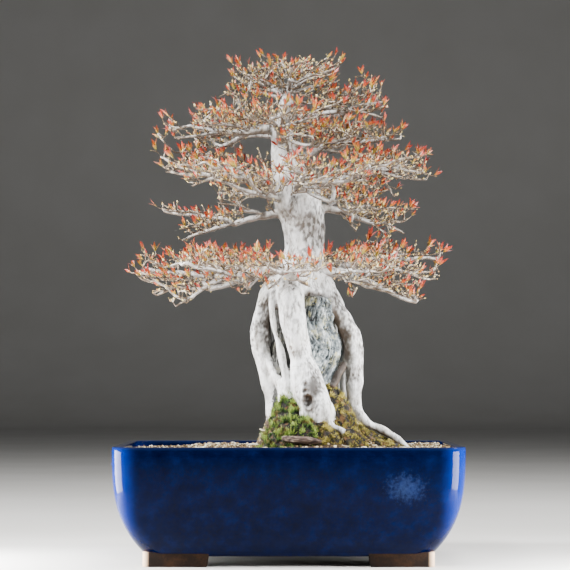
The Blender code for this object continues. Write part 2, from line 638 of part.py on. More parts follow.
class Spray:
    """The woody frame of one branch: points that each know the one they grew from."""

    def __init__(self, limbs):
        self.points, self.parents, self.radii, self.shoots = [], [], [], {}
        for limb in limbs:
            rows = limb_rows(limb)
            parent = -1
            if self.points:
                parent = self.nearest(rows[0][:3])
                rows = rows[1:]
            for row in rows:
                self.add(np.array(row[:3]), parent, row[3])
                parent = len(self.points) - 1
        self.limb_count = len(self.points)

    def add(self, point, parent, radius=0.0):
        self.points.append(point)
        self.parents.append(parent)
        self.radii.append(radius)

    def nearest(self, point):
        return int(np.argmin([np.sum((p - point) ** 2) for p in self.points]))

    def heading(self, index):
        parent = self.parents[index]
        if parent < 0:
            return np.zeros(3)
        ahead = self.points[index] - self.points[parent]
        return ahead / max(np.linalg.norm(ahead), 1e-9)

    def price(self, index, goals):
        """What it costs to reach each goal from a point: the way there, more where it turns back."""
        ways = goals - self.points[index]
        lengths = np.maximum(np.linalg.norm(ways, axis=1), 1e-6)
        forward = ways @ self.heading(index) / lengths
        falling = np.maximum(-ways[:, 2], 0)
        return lengths * (1.55 - 0.55 * forward) + 0.9 * falling

    def grow_to(self, goals, draw, blocked):
        """Twigs to the goals, the cheapest first. One that would come near another branch is left out."""
        goals = np.array(goals)
        best = np.full(len(goals), np.inf)
        start = np.zeros(len(goals), int)
        pending = np.ones(len(goals), bool)

        def offer(index):
            prices = self.price(index, goals)
            better = prices < best
            best[better] = prices[better]
            start[better] = index

        for index in range(1, len(self.points)):
            offer(index)
        while pending.any():
            goal = int(np.argmin(np.where(pending, best, np.inf)))
            pending[goal] = False
            way = self.twig(start[goal], goals[goal], draw)
            if blocked(way):
                continue
            parent = int(start[goal])
            for point in way[1:-1]:
                self.add(point, parent)
                parent = len(self.points) - 1
                offer(parent)
            self.shoots[parent] = way[-1] - way[-2]

    def twig(self, start, goal, draw):
        """A crooked way from a point to a goal, and the tip of the shoot that opens there."""
        base = self.points[start]
        length = float(np.linalg.norm(goal - base))
        count = max(1, round(length / TWIG_STEP))
        way = [base]
        for k in range(1, count):
            share = k / count
            wander = np.array([draw.uniform(-1, 1) for _ in range(3)]) * length * 0.07
            dip = np.array((0, 0, -0.13 * length * math.sin(math.pi * share)))
            way.append(base + (goal - base) * share + wander + dip)
        way.append(goal)
        ahead = goal - way[-2]
        ahead = ahead / max(np.linalg.norm(ahead), 1e-9)
        outward = np.array((goal[0], goal[1], 0)) / max(np.hypot(goal[0], goal[1]), 1e-6)
        aim = 0.5 * ahead + np.array((0, 0, 0.75)) + 0.3 * outward
        aim += np.array([draw.uniform(-0.25, 0.25) for _ in range(3)])
        way.append(goal + aim / np.linalg.norm(aim) * LEAF_LENGTH)
        return way

    def thicken(self):
        """Gives each twig the radius that the shoots it carries need."""
        carried = [0] * len(self.points)
        for index in self.shoots:
            while index >= 0:
                carried[index] += 1
                index = self.parents[index]
        for index, shoots in enumerate(carried):
            self.radii[index] = max(self.radii[index], TWIG_TIP * max(shoots, 1) ** 0.4)

    def chains(self):
        """The frame as unbranched runs of rows, each from inside what carries it to its last point."""
        self.thicken()
        children = [[] for _ in self.points]
        for index, parent in enumerate(self.parents):
            if parent >= 0:
                children[parent].append(index)
        waiting, runs = [(0, -1)], []
        while waiting:
            index, parent = waiting.pop()
            row = []
            if parent >= 0:
                shift = np.array([math.sin(index * turn) for turn in (1, 2, 3)]) * 0.0001
                row.append((*(self.points[parent] + shift), self.radii[index] * SUNK_SHARE, False))
            while True:
                row.append((*self.points[index], self.radii[index], len(children[index]) > 1))
                if not children[index]:
                    break
                after = sorted(children[index],
                               key=lambda child: (self.radii[child], child < self.limb_count))
                waiting += [(child, index) for child in after[:-1]]
                index = after[-1]
            runs.append(row)
        return runs


def thinned(rows):
    """The rows without those that lie near the straight way between their neighbours. Where something
    forks off, near means well inside the wood, so that what grows there stays joined."""
    if len(rows) < 3:
        return rows
    first, last = np.array(rows[0][:3]), np.array(rows[-1][:3])
    way = (last - first) / np.linalg.norm(last - first)
    off = []
    for row in rows[1:-1]:
        slack = row[3] * FORK_SLACK if row[4] else TWIG_SLACK
        off.append(np.linalg.norm(np.cross(way, np.array(row[:3]) - first)) / slack)
    worst = int(np.argmax(off))
    if off[worst] < 1:
        return [rows[0], rows[-1]]
    return thinned(rows[: worst + 2])[:-1] + thinned(rows[worst + 1:])


def along(points):
    """Points closely spaced on the straight runs between these."""
    spread = []
    for a, b in zip(points, points[1:]):
        count = max(1, math.ceil(np.linalg.norm(b - a) / LINE_STEP))
        spread += [a + (b - a) * k / count for k in range(count)]
    return np.array(spread + [points[-1]])


def wood_points(rows):
    """The middle line of a body with its radius, closely spaced."""
    return along([np.array(row, float) for row in rows])


def grow_canopy():
    """All sprays. Their foliage points are drawn first, so that no branch takes the place of another."""
    draw = random.Random(11)
    taken = []
    goals = {}
    for name, limbs in LIMBS.items():
        goals[name] = []
        for limb in limbs:
            goals[name] += foliage_points(limb, draw, SHOOT_SPACING, taken)
    sprays = {name: Spray(limbs) for name, limbs in LIMBS.items()}
    solid = [wood_points(metres(rows)) for rows in (TRUNK, TRUNK_FORK, *ROOTS.values())]
    crowded = {name: [wood_points(limb_rows(limb)) for limb in limbs] for name, limbs in LIMBS.items()}
    for name in LIMBS:
        for x, y, z in goals[name]:
            top = z + LEAF_LENGTH * 0.7
            crowded[name].append(np.array([(x, y, z, SHOOT_ROOM), (x, y, top, SHOOT_ROOM)]))
    for name, spray in sprays.items():
        others = solid + [rows for other in LIMBS if other != name for rows in crowded[other]]
        others = np.concatenate(others)

        def blocked(way, others=others):
            line = along(way)[1:]
            room = others[:, 3] + CLEARANCE + TWIG_TIP
            near = np.sum((line[:, None, :] - others[None, :, :3]) ** 2, axis=2) < room ** 2
            return bool(near.any())

        if goals[name]:
            spray.grow_to(goals[name], draw, blocked)
        crowded[name] = [wood_points([point[:4] for point in row]) for row in spray.chains()]
        for index, aim in spray.shoots.items():
            tip = spray.points[index] + aim
            crowded[name].append(wood_points([(*spray.points[index], LEAF_SPREAD), (*tip, LEAF_SPREAD)]))
    return sprays


def make_spray(name, spray, wood, collection):
    bodies = []
    for number, rows in enumerate(spray.chains()):
        thick = max(row[3] for row in rows)
        sides = 5 if thick > 4.5 * MM else 4 if thick > 2.6 * MM else 3
        rows = thinned(rows)
        bodies.append(sweep(rows, sides, 0, number, 0, leaves=True))
    branch = fused(name, bodies, wood, collection)
    smooth_shaded(branch, 35)
    return branch


def moss_body(patch, seed, grow=0.0):
    """A low lumpy cushion that lies along the ground, sunk a little into it."""
    middle_x, middle_y, half_x, half_y, thick = [value * MM for value in patch]
    rings = []
    for reach, lift in MOSS_PROFILE:
        ring = []
        for k in range(MOSS_SIDES):
            cos, sin = math.cos(math.tau * k / MOSS_SIDES), math.sin(math.tau * k / MOSS_SIDES)
            place = Vector((cos * 1.4, sin * 1.4, reach + seed * 3.7))
            wide = reach * (1 + 0.16 * noise.noise(place))
            x, y = middle_x + cos * half_x * wide, middle_y + sin * half_y * wide
            lump = 1 + 0.3 * noise.noise(place * 2.1)
            above = thick * lift * lump + grow if lift > 0 else MOSS_SINK * lift - grow * MOSS_FOOT
            ring.append((x + cos * grow, y + sin * grow, ground(x, y) + above))
        rings.append(ring)
    return loft(rings)


def main():
    for obj in list(bpy.data.objects):
        bpy.data.objects.remove(obj)
    scene = bpy.context.scene
    tree = bpy.data.collections.new("root_over_rock_bonsai")
    cutters = bpy.data.collections.new("cutters")
    scene.collection.children.link(tree)
    scene.collection.children.link(cutters)
    cutters.hide_render = True

    glaze = principled("glazed_stoneware", (0.004, 0.018, 0.12), 0.12, coat=1.0)
    plastic = principled("mesh_plastic", (0.02, 0.02, 0.02), 0.6)
    grit = principled("coarse_grit", (0.25, 0.20, 0.15), 0.9)
    earth = principled("soil_crumb", (0.33, 0.25, 0.17), 0.95)
    stone = principled("slate_rock", (0.13, 0.16, 0.19), 0.8)
    bark = principled("pale_bark", (0.62, 0.58, 0.52), 0.75)
    twig = principled("twig_and_shoot", (0.50, 0.22, 0.12), 0.7)
    moss = principled("moss", (0.13, 0.20, 0.03), 0.95)
    dead_bark = principled("dead_bark", (0.10, 0.06, 0.06), 0.9)

    make_pot(glaze, tree, cutters)
    make_drain_mesh("drain_mesh_left", -DRAIN_X, plastic, tree)
    make_drain_mesh("drain_mesh_right", DRAIN_X, plastic, tree)
    make_drainage(grit, tree, cutters)
    soil = make_soil(earth, tree)

    rock = add_object("rock", *rock_body(), stone, tree)
    rock_room = add_object("rock_room", *rock_body(GAP), None, cutters)
    trunk = fused("trunk_and_roots", tree_bodies(), bark, tree)
    tree_room = fused("tree_room", tree_bodies(GAP), None, cutters)
    boolean(trunk, "DIFFERENCE", rock_room)
    applied(trunk)
    largest_body(trunk)

    moss_room = bpy.data.collections.new("moss_room")
    cutters.children.link(moss_room)
    for seed, (name, cushion) in enumerate(MOSS.items()):
        pad = add_object(name, *moss_body(cushion, seed), moss, tree)
        add_object(name + "_room", *moss_body(cushion, seed, GAP), None, moss_room)
        for cutter in (tree_room, rock_room):
            boolean(pad, "DIFFERENCE", cutter)
        applied(pad)
        largest_body(pad)
        smooth_shaded(pad)
    add_object("bark_piece", *sweep(metres(BARK_PATH), 6, 0.3, 40), dead_bark, tree)
    add_object("bark_room", *sweep(metres(BARK_PATH), 6, 0.3, 40, GAP), None, moss_room)
    for cutter in (tree_room, rock_room, moss_room):
        boolean(soil, "DIFFERENCE", cutter)
    applied(soil)
    largest_body(soil)

    for name, spray in grow_canopy().items():
        branch = make_spray(name, spray, twig, tree)
        boolean(branch, "DIFFERENCE", tree_room)
        applied(branch)
        largest_body(branch)
    for cutter in cutters.all_objects:
        cutter.hide_render = True
        cutter.display_type = "WIRE"
    for obj in (soil, rock, trunk):
        smooth_shaded(obj)


main()
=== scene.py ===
# %% [markdown]
# # A root over rock bonsai in a blue glazed pot
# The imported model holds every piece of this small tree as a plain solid: the pot, the soil, the stone,
# the trunk with its roots, and a coarse spray for each branch. This notebook gives each of them the
# surface that the real one has, piece by piece, without moving anything: a new piece always sits where
# its solid sits. Everything is in metres, with the front of the tree towards -Y.

import math
import random

import bmesh
import bpy
import numpy as np
from mathutils import Matrix, Vector, noise
from mathutils.kdtree import KDTree


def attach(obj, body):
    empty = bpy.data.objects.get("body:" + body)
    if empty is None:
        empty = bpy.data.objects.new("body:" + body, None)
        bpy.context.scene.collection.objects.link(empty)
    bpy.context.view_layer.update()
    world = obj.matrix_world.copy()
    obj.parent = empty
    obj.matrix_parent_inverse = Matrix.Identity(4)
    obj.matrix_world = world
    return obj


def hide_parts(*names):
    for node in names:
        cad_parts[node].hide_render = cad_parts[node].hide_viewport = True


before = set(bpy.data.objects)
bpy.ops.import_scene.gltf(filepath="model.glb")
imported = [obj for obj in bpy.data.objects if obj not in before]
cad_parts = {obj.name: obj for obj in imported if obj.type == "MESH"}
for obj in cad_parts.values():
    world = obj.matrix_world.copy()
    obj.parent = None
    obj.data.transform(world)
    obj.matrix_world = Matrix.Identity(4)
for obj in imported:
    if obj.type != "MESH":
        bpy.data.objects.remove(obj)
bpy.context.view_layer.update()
MM = 0.001

# %% [markdown]
# Most steps below model one piece by hand-like operators, and those act on whatever is selected. The
# loaded solids come in selected, so a step always starts by selecting its own piece and nothing else.
# A finished piece keeps its place in its mesh, with the object itself at the origin, so that patterns
# measured from the object stay where they are.

# %% Small helpers for selecting, applying and dressing
def only(piece):
    """Selects one object and makes it active, as a click on it would."""
    bpy.ops.object.select_all(action="DESELECT")
    piece.select_set(True)
    bpy.context.view_layer.objects.active = piece
    return piece


def added(name):
    """Names the primitive that was just added, and leaves it as the only one selected."""
    piece = bpy.context.object
    piece.name = piece.data.name = name
    return only(piece)


def linked(name, data):
    """A new object in the scene that shows this mesh or curve."""
    piece = bpy.data.objects.new(name, data)
    bpy.context.collection.objects.link(piece)
    return piece


def joined(first, *others):
    """Makes one object of several, and keeps the first one's name."""
    only(first)
    for piece in others:
        piece.select_set(True)
    bpy.ops.object.join()


def select_where(test, edges=False):
    """In edit mode, selects the faces, or else the edges, that pass the test and no others."""
    mesh = bpy.context.object.data
    shape = bmesh.from_edit_mesh(mesh)
    for part in (*shape.faces, *shape.edges, *shape.verts):
        part.select_set(False)
    for part in shape.edges if edges else shape.faces:
        if test(part):
            part.select_set(True)
    bmesh.update_edit_mesh(mesh)


def cut_along(axis, cuts, shortest=0.5):
    """In edit mode, cuts the long edges that run along an axis into equal stretches."""
    select_where(lambda edge: abs(edge.verts[0].co[axis] - edge.verts[1].co[axis]) > shortest, edges=True)
    bpy.ops.mesh.subdivide(number_cuts=cuts)


def face_outwards():
    """Turns every face of the active piece outwards."""
    bpy.ops.object.mode_set(mode="EDIT")
    bpy.ops.mesh.select_all(action="SELECT")
    bpy.ops.mesh.normals_make_consistent(inside=False)
    bpy.ops.object.mode_set(mode="OBJECT")


def settle(piece):
    """Applies the modifiers, then the place, so that the mesh is final and the object is at the origin."""
    only(piece)
    for modifier in list(piece.modifiers):
        bpy.ops.object.modifier_apply(modifier=modifier.name)
    bpy.ops.object.transform_apply(location=True, rotation=True, scale=True)


def write_numbers(mesh, label, values):
    """Gives each point of a mesh a number under this label, for a shader to read."""
    numbers = np.asarray(values, np.float32)
    mesh.attributes.new(label, "FLOAT", "POINT").data.foreach_set("value", numbers)


def dress(piece, nodes=(), materials=()):
    """Gives a piece its materials, lets it ride with the tree, and hides the solids that it stands for."""
    for material in materials:
        piece.data.materials.append(material)
    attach(piece, "root")
    if nodes:
        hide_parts(*nodes)
    print(piece.name, "has", len(piece.data.polygons), "faces")


# %% [markdown]
# Colours are picked from a screen, so they are sRGB numbers, while shaders add up linear light. One
# function turns a hex code into linear numbers. Another adds a shader node from one table of settings. A
# name that starts with a small letter is an option of the node, and any other name or number is a socket.
# A socket takes a value, a hex colour, or another node's output, and then it is linked. A ramp takes stops.

# %% Colours and shader nodes
def linear(colour):
    """A hex colour as the four linear numbers that a shader takes."""
    parts = [int(colour[i:i + 2], 16) / 255 for i in (1, 3, 5)]
    return [v / 12.92 if v <= 0.04045 else ((v + 0.055) / 1.055) ** 2.4 for v in parts] + [1.0]


def add_node(tree, kind, settings):
    """A shader node with its options and sockets set or linked. What comes back is its outputs."""
    node = tree.nodes.new("ShaderNode" + kind)
    for key, value in settings.items():
        if isinstance(value, bpy.types.NodeSocket):
            tree.links.new(value, node.inputs[key])
        elif key == "stops":
            while len(node.color_ramp.elements) < len(value):
                node.color_ramp.elements.new(0.5)
            for element, (position, colour) in zip(node.color_ramp.elements, value):
                element.position = position
                element.color = linear(colour)
        elif isinstance(key, str) and key[0].islower():
            setattr(node, key, value)
        else:
            node.inputs[key].default_value = linear(value) if isinstance(value, str) else value
    return node.outputs


def new_material(name, roughness, **sockets):
    """A material whose own shader has these values, its nodes, and the place that patterns start from."""
    material = bpy.data.materials.new(name)
    material.use_nodes = True
    tree = material.node_tree
    for key, value in {"Roughness": roughness, **sockets}.items():
        tree.nodes["Principled BSDF"].inputs[key.replace("_", " ")].default_value = value
    return material, tree, add_node(tree, "TexCoord", {})["Object"]


def wire(tree, colour=None, bump=None):
    """Links a colour and a bump, where they are given, to the material's own shader."""
    for output, name in ((colour, "Base Color"), (bump, "Normal")):
        if output is not None:
            tree.links.new(output, tree.nodes["Principled BSDF"].inputs[name])


# %% [markdown]
# The camera stands where the photographer stood: two and a half metres off, a little above the rim of the
# pot, with a long lens, tilted up by under three degrees. A long lens keeps the pot's sides nearly
# parallel. The angle follows from where the horizon lies in the picture.

# %% The camera
PICTURE_SIDE = 570
FOCAL_PIXELS = 2053
HORIZON_BELOW_MIDDLE = 100
SENSOR_WIDTH = 36
CAMERA_PLACE = (-0.0042, -2.450, 0.2059)

tilt = math.atan(HORIZON_BELOW_MIDDLE / FOCAL_PIXELS)
bpy.ops.object.camera_add(location=CAMERA_PLACE, rotation=(math.radians(90) + tilt, 0, 0))
camera = bpy.context.object
camera.data.sensor_width = SENSOR_WIDTH
camera.data.lens = FOCAL_PIXELS / PICTURE_SIDE * SENSOR_WIDTH
camera.data.clip_start = 0.1
camera.data.dof.use_dof = False
bpy.context.scene.camera = camera
print("lens", round(camera.data.lens, 1), "mm, tilted up", round(math.degrees(tilt), 2), "degrees")

# %% [markdown]
# The tree stands on a pale sweep: a floor whose far edge turns up into a wall, so that no line shows
# behind it. The wall is far from the lamps, so it falls off to a quiet grey, and the pale twigs stand out
# from it. A soft key light stands in front on the left. A soft box at each side brightens the outer
# flanks of the roots, and leaves their inner sides dark. A small low strip close to each end is what
# the pot's rounded corners mirror, because a camera above the rim sees in them what is near the floor.

# %% The floor and its paint
SWEEP_SIDE = 18.0
SWEEP_EDGE = SWEEP_SIDE * 0.49
SWEEP_RISE = 5.0
SWEEP_BEND = 1.6

paint, tree, place = new_material("matt_studio_paint", 0.85)
mottle = add_node(tree, "TexNoise", {"Scale": 3.0, "Detail": 2.0, "Vector": place})
tone = add_node(tree, "ValToRGB", {"Fac": mottle[0], "stops": ((0.3, "#D6D4CF"), (0.7, "#DDDBD7"))})
wire(tree, tone[0])

bpy.ops.mesh.primitive_plane_add(size=SWEEP_SIDE, location=(0, 0, 0))
sweep_floor = added("studio_sweep")
bpy.ops.object.mode_set(mode="EDIT")
select_where(lambda edge: all(v.co.y > SWEEP_EDGE for v in edge.verts), edges=True)
bpy.ops.mesh.extrude_region_move(TRANSFORM_OT_translate={"value": (0, 0, SWEEP_RISE)})
select_where(lambda edge: all(v.co.y > SWEEP_EDGE and v.co.z < 0.1 for v in edge.verts), edges=True)
bpy.ops.mesh.bevel(offset=SWEEP_BEND, segments=16, profile=0.5)
bpy.ops.object.mode_set(mode="OBJECT")
bpy.ops.object.shade_smooth()
sweep_floor.data.materials.append(paint)
settle(sweep_floor)
print("the sweep has", len(sweep_floor.data.polygons), "faces")

# %% The lights
# Each lamp: its place, width, height and power, and how high above the floor it aims.
LIGHTS = {
    "key": ((-1.0, -2.0, 1.9), 0.4, 0.4, 50, 0.30),
    "left_box": ((-1.55, -0.55, 1.05), 0.4, 0.5, 92, 0.32),
    "right_box": ((1.6, -0.40, 0.95), 0.4, 0.5, 68, 0.32),
    "left_strip": ((-0.47, -0.075, 0.078), 0.25, 0.147, 10.0, 0.078),
    "right_strip": ((0.47, -0.205, 0.080), 0.19, 0.150, 7.5, 0.080),
    "top": ((0.2, 0.5, 2.1), 0.5, 0.5, 26, 0.30),
}
ROOM_COLOUR, ROOM_STRENGTH = "#DDE3EA", 0.035

for name, (spot, width, height, power, aim_height) in LIGHTS.items():
    turn = (Vector((0, 0, aim_height)) - Vector(spot)).to_track_quat("-Z", "Y").to_euler()
    bpy.ops.object.light_add(type="AREA", location=spot, rotation=turn)
    lamp = bpy.context.object
    lamp.name = lamp.data.name = "light_" + name
    lamp.data.shape = "RECTANGLE"
    lamp.data.size, lamp.data.size_y = width, height
    lamp.data.energy = power
    lamp.visible_camera = False

world = bpy.data.worlds.new("pale_room")
world.use_nodes = True
air = world.node_tree.nodes["Background"].inputs
air["Color"].default_value, air["Strength"].default_value = linear(ROOM_COLOUR), ROOM_STRENGTH
bpy.context.scene.world = world
print("lights:", sorted(LIGHTS))

# %% [markdown]
# ## The pot
# The pot is one piece of pressed stoneware. Its sides stand almost upright and turn in low down, the
# corners are round, and it stands on four corner feet. It starts here as a flat plate at the rim, with
# round corners, and the plate's face is extruded down ring by ring, each ring a little narrower. The top
# face is then inset by the width of the rim and extruded down again for the inside.

# %% The pot's measures
POT_LENGTH, POT_DEPTH, POT_HEIGHT = 0.400, 0.300, 0.136
FOOT_HEIGHT = 0.012
POT_TAPER = 0.037
POT_CURVE = 3.2
CORNER_RADIUS = 0.030
RIM_WIDTH, RIM_ROUND = 0.010, 0.0022
WALL = 0.009
FLOOR_TOP = 0.021
INSIDE_LEVELS = (FLOOR_TOP, 0.032, 0.052, 0.090, 0.134)
OUTSIDE_STEPS, STEP_EASE = 18, 1.7
LEVEL = 0.0001


def draw_in(height):
    """How far the pot's side stands in from its rim at this height."""
    return POT_TAPER * ((POT_HEIGHT - height) / (POT_HEIGHT - FOOT_HEIGHT)) ** POT_CURVE


def outside(height):
    """Half length, half depth and height of the pot's outer side."""
    return POT_LENGTH / 2 - draw_in(height), POT_DEPTH / 2 - draw_in(height), height


def inside(height, clear=0.0):
    """The same for the inner side of the wall, or for something that stays clear of it."""
    insets = [max(draw_in(level) + WALL, RIM_WIDTH) for level in INSIDE_LEVELS]
    inset = float(np.interp(height, INSIDE_LEVELS, insets)) + clear
    return POT_LENGTH / 2 - inset, POT_DEPTH / 2 - inset, height


def next_ring(now, then):
    """Extrudes the selected face from one ring to the next and sizes it."""
    bpy.ops.mesh.extrude_region_move(TRANSFORM_OT_translate={"value": (0, 0, then[2] - now[2])})
    size = (then[0] / now[0], then[1] / now[1], 1)
    bpy.ops.transform.resize(value=size, center_override=(0, 0, then[2]))
    return then


# %% Extrude the pot's body
bpy.ops.mesh.primitive_plane_add(size=1, location=(0, 0, POT_HEIGHT))
pot = added("glazed_pot")
pot.scale = (POT_LENGTH, POT_DEPTH, 1)
bpy.ops.object.transform_apply(location=True, scale=True)
bpy.ops.object.mode_set(mode="EDIT")
bpy.ops.mesh.bevel(offset=CORNER_RADIUS, segments=14, profile=0.5, affect="VERTICES")
bpy.ops.mesh.select_all(action="SELECT")
ring = outside(POT_HEIGHT)
for step in range(1, OUTSIDE_STEPS + 1):
    share = (1 - step / OUTSIDE_STEPS) ** STEP_EASE
    ring = next_ring(ring, outside(FOOT_HEIGHT + (POT_HEIGHT - FOOT_HEIGHT) * share))
select_where(lambda face: face.calc_center_median().z > POT_HEIGHT - LEVEL)
bpy.ops.mesh.inset(thickness=RIM_WIDTH, use_even_offset=True)
ring = (POT_LENGTH / 2 - RIM_WIDTH, POT_DEPTH / 2 - RIM_WIDTH, POT_HEIGHT)
for level in reversed(INSIDE_LEVELS):
    ring = next_ring(ring, inside(level))
bpy.ops.object.mode_set(mode="OBJECT")
print("pot rings done,", len(pot.data.vertices), "points")

# %% [markdown]
# Glaze pulls back from every edge while it melts, so no edge of a glazed pot is sharp. The rim's two
# edges and the one round the foot are bevelled, and the drain holes and the small holes for the wire
# that ties the tree down are drilled afterwards, as the potter does before firing.

# %% Round the rim and drill the floor
DRAIN_X, DRAIN_RADIUS = 0.085, 0.014
WIRE_HOLES = ((0.045, 0.040), (0.045, -0.040), (-0.045, 0.040), (-0.045, -0.040))
WIRE_HOLE_RADIUS = 0.0025
DRILL_LENGTH, DRILL_HEIGHT = 0.020, 0.017


def on_an_edge(edge):
    """The rim's outer and inner edge, and the one between side and underside."""
    heights = [v.co.z for v in edge.verts]
    flat = max(heights) - min(heights) < LEVEL
    return flat and (heights[0] > POT_HEIGHT - LEVEL or abs(heights[0] - FOOT_HEIGHT) < LEVEL)


only(pot)
bpy.ops.object.mode_set(mode="EDIT")
select_where(on_an_edge, edges=True)
bpy.ops.mesh.bevel(offset=RIM_ROUND, segments=4, profile=0.5, clamp_overlap=True)
bpy.ops.object.mode_set(mode="OBJECT")

holes = [(x, 0, DRAIN_RADIUS, 40) for x in (-DRAIN_X, DRAIN_X)]
holes += [(x, y, WIRE_HOLE_RADIUS, 16) for x, y in WIRE_HOLES]
for x, y, radius, sides in holes:
    bpy.ops.mesh.primitive_cylinder_add(vertices=sides, radius=radius, depth=DRILL_LENGTH,
                                        location=(x, y, DRILL_HEIGHT))
    drill = added("drill")
    cut = pot.modifiers.new("Hole", "BOOLEAN")
    cut.object = drill
    cut.operation = "DIFFERENCE"
    only(pot)
    bpy.ops.object.modifier_apply(modifier=cut.name)
    bpy.data.objects.remove(drill)
print("pot drilled,", len(pot.data.polygons), "faces")

# %% [markdown]
# Each foot is an L that wraps round a corner of the pot. One is cut from a flat plate: two bisects
# split it, the inner quarter is deleted, the outer corner is rounded, and the rest is extruded down.
# A mirror across both middle lines makes the other three.

# %% The feet
FOOT_REACH = (0.166, 0.116)
FOOT_ARMS = (0.076, 0.056)
FOOT_THICK = 0.024
FOOT_SINK = 0.005
FOOT_SLANT = 0.0027
FOOT_ROUND = 0.010

low = Vector((FOOT_REACH[0] - FOOT_ARMS[0], FOOT_REACH[1] - FOOT_ARMS[1], 0))
high = Vector((*FOOT_REACH, 0))
cut_x, cut_y = high.x - FOOT_THICK, high.y - FOOT_THICK
bpy.ops.mesh.primitive_plane_add(size=1, location=(0, 0, 0))
feet = added("clay_feet")
feet.data.transform(Matrix.Translation(((low + high) / 2).to_3d()) @ Matrix.Diagonal((*FOOT_ARMS, 1, 1)))
bpy.ops.object.mode_set(mode="EDIT")
for on_the_cut, normal in (((cut_x, 0, 0), (1, 0, 0)), ((0, cut_y, 0), (0, 1, 0))):
    bpy.ops.mesh.select_all(action="SELECT")
    bpy.ops.mesh.bisect(plane_co=on_the_cut, plane_no=normal)
select_where(lambda face: face.calc_center_median().x < cut_x and face.calc_center_median().y < cut_y)
bpy.ops.mesh.delete(type="FACE")
bpy.ops.mesh.select_all(action="SELECT")
bpy.ops.transform.translate(value=(0, 0, FOOT_HEIGHT + FOOT_SINK))
bpy.ops.mesh.extrude_region_move(TRANSFORM_OT_translate={"value": (0, 0, -FOOT_HEIGHT - FOOT_SINK)})
narrow = [(arm - FOOT_SLANT) / arm for arm in FOOT_ARMS]
bpy.ops.transform.resize(value=(*narrow, 1), center_override=high)
select_where(lambda edge: all((v.co.to_2d() - high.to_2d()).length < 0.001 for v in edge.verts), edges=True)
bpy.ops.mesh.bevel(offset=FOOT_ROUND, segments=8, profile=0.5)
bpy.ops.object.mode_set(mode="OBJECT")
soften = feet.modifiers.new("Soften", "BEVEL")
soften.width = 0.0009
soften.segments = 2
soften.limit_method = "ANGLE"
across = feet.modifiers.new("Four", "MIRROR")
across.use_axis = (True, True, False)
across.merge_threshold = 0.0001
settle(feet)
face_outwards()
print("feet reach down to", round(min(v.co.z for v in feet.data.vertices), 5))

# %% [markdown]
# The glaze is a glossy cobalt blue, dipped and fired to a glass. It pools dark on the broad flat sides
# and runs thin, brighter and greyer, over the rim. The round corners are painted a brighter blue, as
# painted light where the side lamps catch them. Under the glass the colour wanders a little, and tiny
# pits catch the light. On the right of the front, a pale, frayed haze is mixed into the glaze colour.
# The feet were wiped before firing, so they stay bare brown clay, matt and grainy. Their clay is painted
# far darker than it is, as painted shade on the fronts of the feet, and their outer corners are painted
# pale, as painted light from the side lamps. Both finishes change in the corners only, and a point is in
# a corner where it is far from the middle of the pot both along it and across it.

# %% Cobalt glaze
def in_the_corners(tree, place, kind, *ranges):
    """How far a point lies in the pot's corners, from how far off the middle it is in X and in Y."""
    apart = add_node(tree, "SeparateXYZ", {"Vector": place})
    shares = []
    for way, (low, high, most) in enumerate(ranges):
        off = add_node(tree, "Math", {"operation": "ABSOLUTE", 0: apart[way]})
        shares.append(add_node(tree, "MapRange", {"interpolation_type": kind, "From Min": low,
                                                  "From Max": high, "To Max": most, "Value": off[0]}))
    return add_node(tree, "Math", {"operation": "MULTIPLY", 0: shares[0][0], 1: shares[1][0]})


glaze, tree, place = new_material("cobalt_glaze", 0.06, Specular_IOR_Level=0.06, IOR=1.5)
cloud = add_node(tree, "TexNoise", {"Scale": 60.0, "Detail": 5.0, "Roughness": 0.6, "Vector": place})
deep = add_node(tree, "ValToRGB", {"Fac": cloud[0], "stops": ((0.30, "#00031A"), (0.52, "#000624"),
                                                             (0.75, "#000C34"))})
# Painted light: the round corners get a brighter blue, where the side lamps light them.
corner = in_the_corners(tree, place, "SMOOTHSTEP", (0.166, 0.199, 0.28), (0.066, 0.104, 1))
painted_corner_light = add_node(tree, "Mix", {"data_type": "RGBA", 0: corner[0], 6: deep[0], 7: "#0030A8"})
apart = add_node(tree, "SeparateXYZ", {"Vector": place})
rim = add_node(tree, "MapRange", {"From Min": 0.1320, "From Max": 0.1358, "To Max": 0.75, "Value": apart[2]})
thin = add_node(tree, "Mix", {"data_type": "RGBA", 0: rim[0], 6: painted_corner_light[2], 7: "#141C38"})
# A pale, frayed haze on the right of the front, mixed into the glaze colour.
centred = add_node(tree, "Mapping", {"Location": (-6.55, 2.94, -5.97), "Scale": (50, 20, 66),
                                     "Vector": place})
far = add_node(tree, "VectorMath", {"operation": "LENGTH", 0: centred[0]})
haze_grain = add_node(tree, "TexNoise", {"Scale": 250.0, "Detail": 6.0, "Roughness": 0.72, "Vector": place})
frayed = add_node(tree, "Math", {"operation": "MULTIPLY_ADD", 0: haze_grain[0], 1: 3.4, 2: far["Value"]})
haze = add_node(tree, "MapRange", {"From Min": 2.9, "From Max": 0.7, "To Max": 0.15, "Value": frayed[0]})
hazy = add_node(tree, "Mix", {"data_type": "RGBA", 0: haze[0], 6: thin[2], 7: "#6484D0"})
peel = add_node(tree, "TexNoise", {"Scale": 190.0, "Detail": 2.0, "Vector": place})
pits = add_node(tree, "TexVoronoi", {"Scale": 170.0, "Vector": place})
pit = add_node(tree, "MapRange", {"From Min": 0.02, "From Max": 0.10, "Value": pits[0]})
skin = add_node(tree, "Math", {"operation": "MULTIPLY_ADD", 0: pit[0], 1: 0.35, 2: peel[0]})
wave = add_node(tree, "Bump", {"Strength": 0.10, "Distance": 0.0006, "Height": skin[0]})
wire(tree, hazy[2], wave[0])
print("glaze ready")

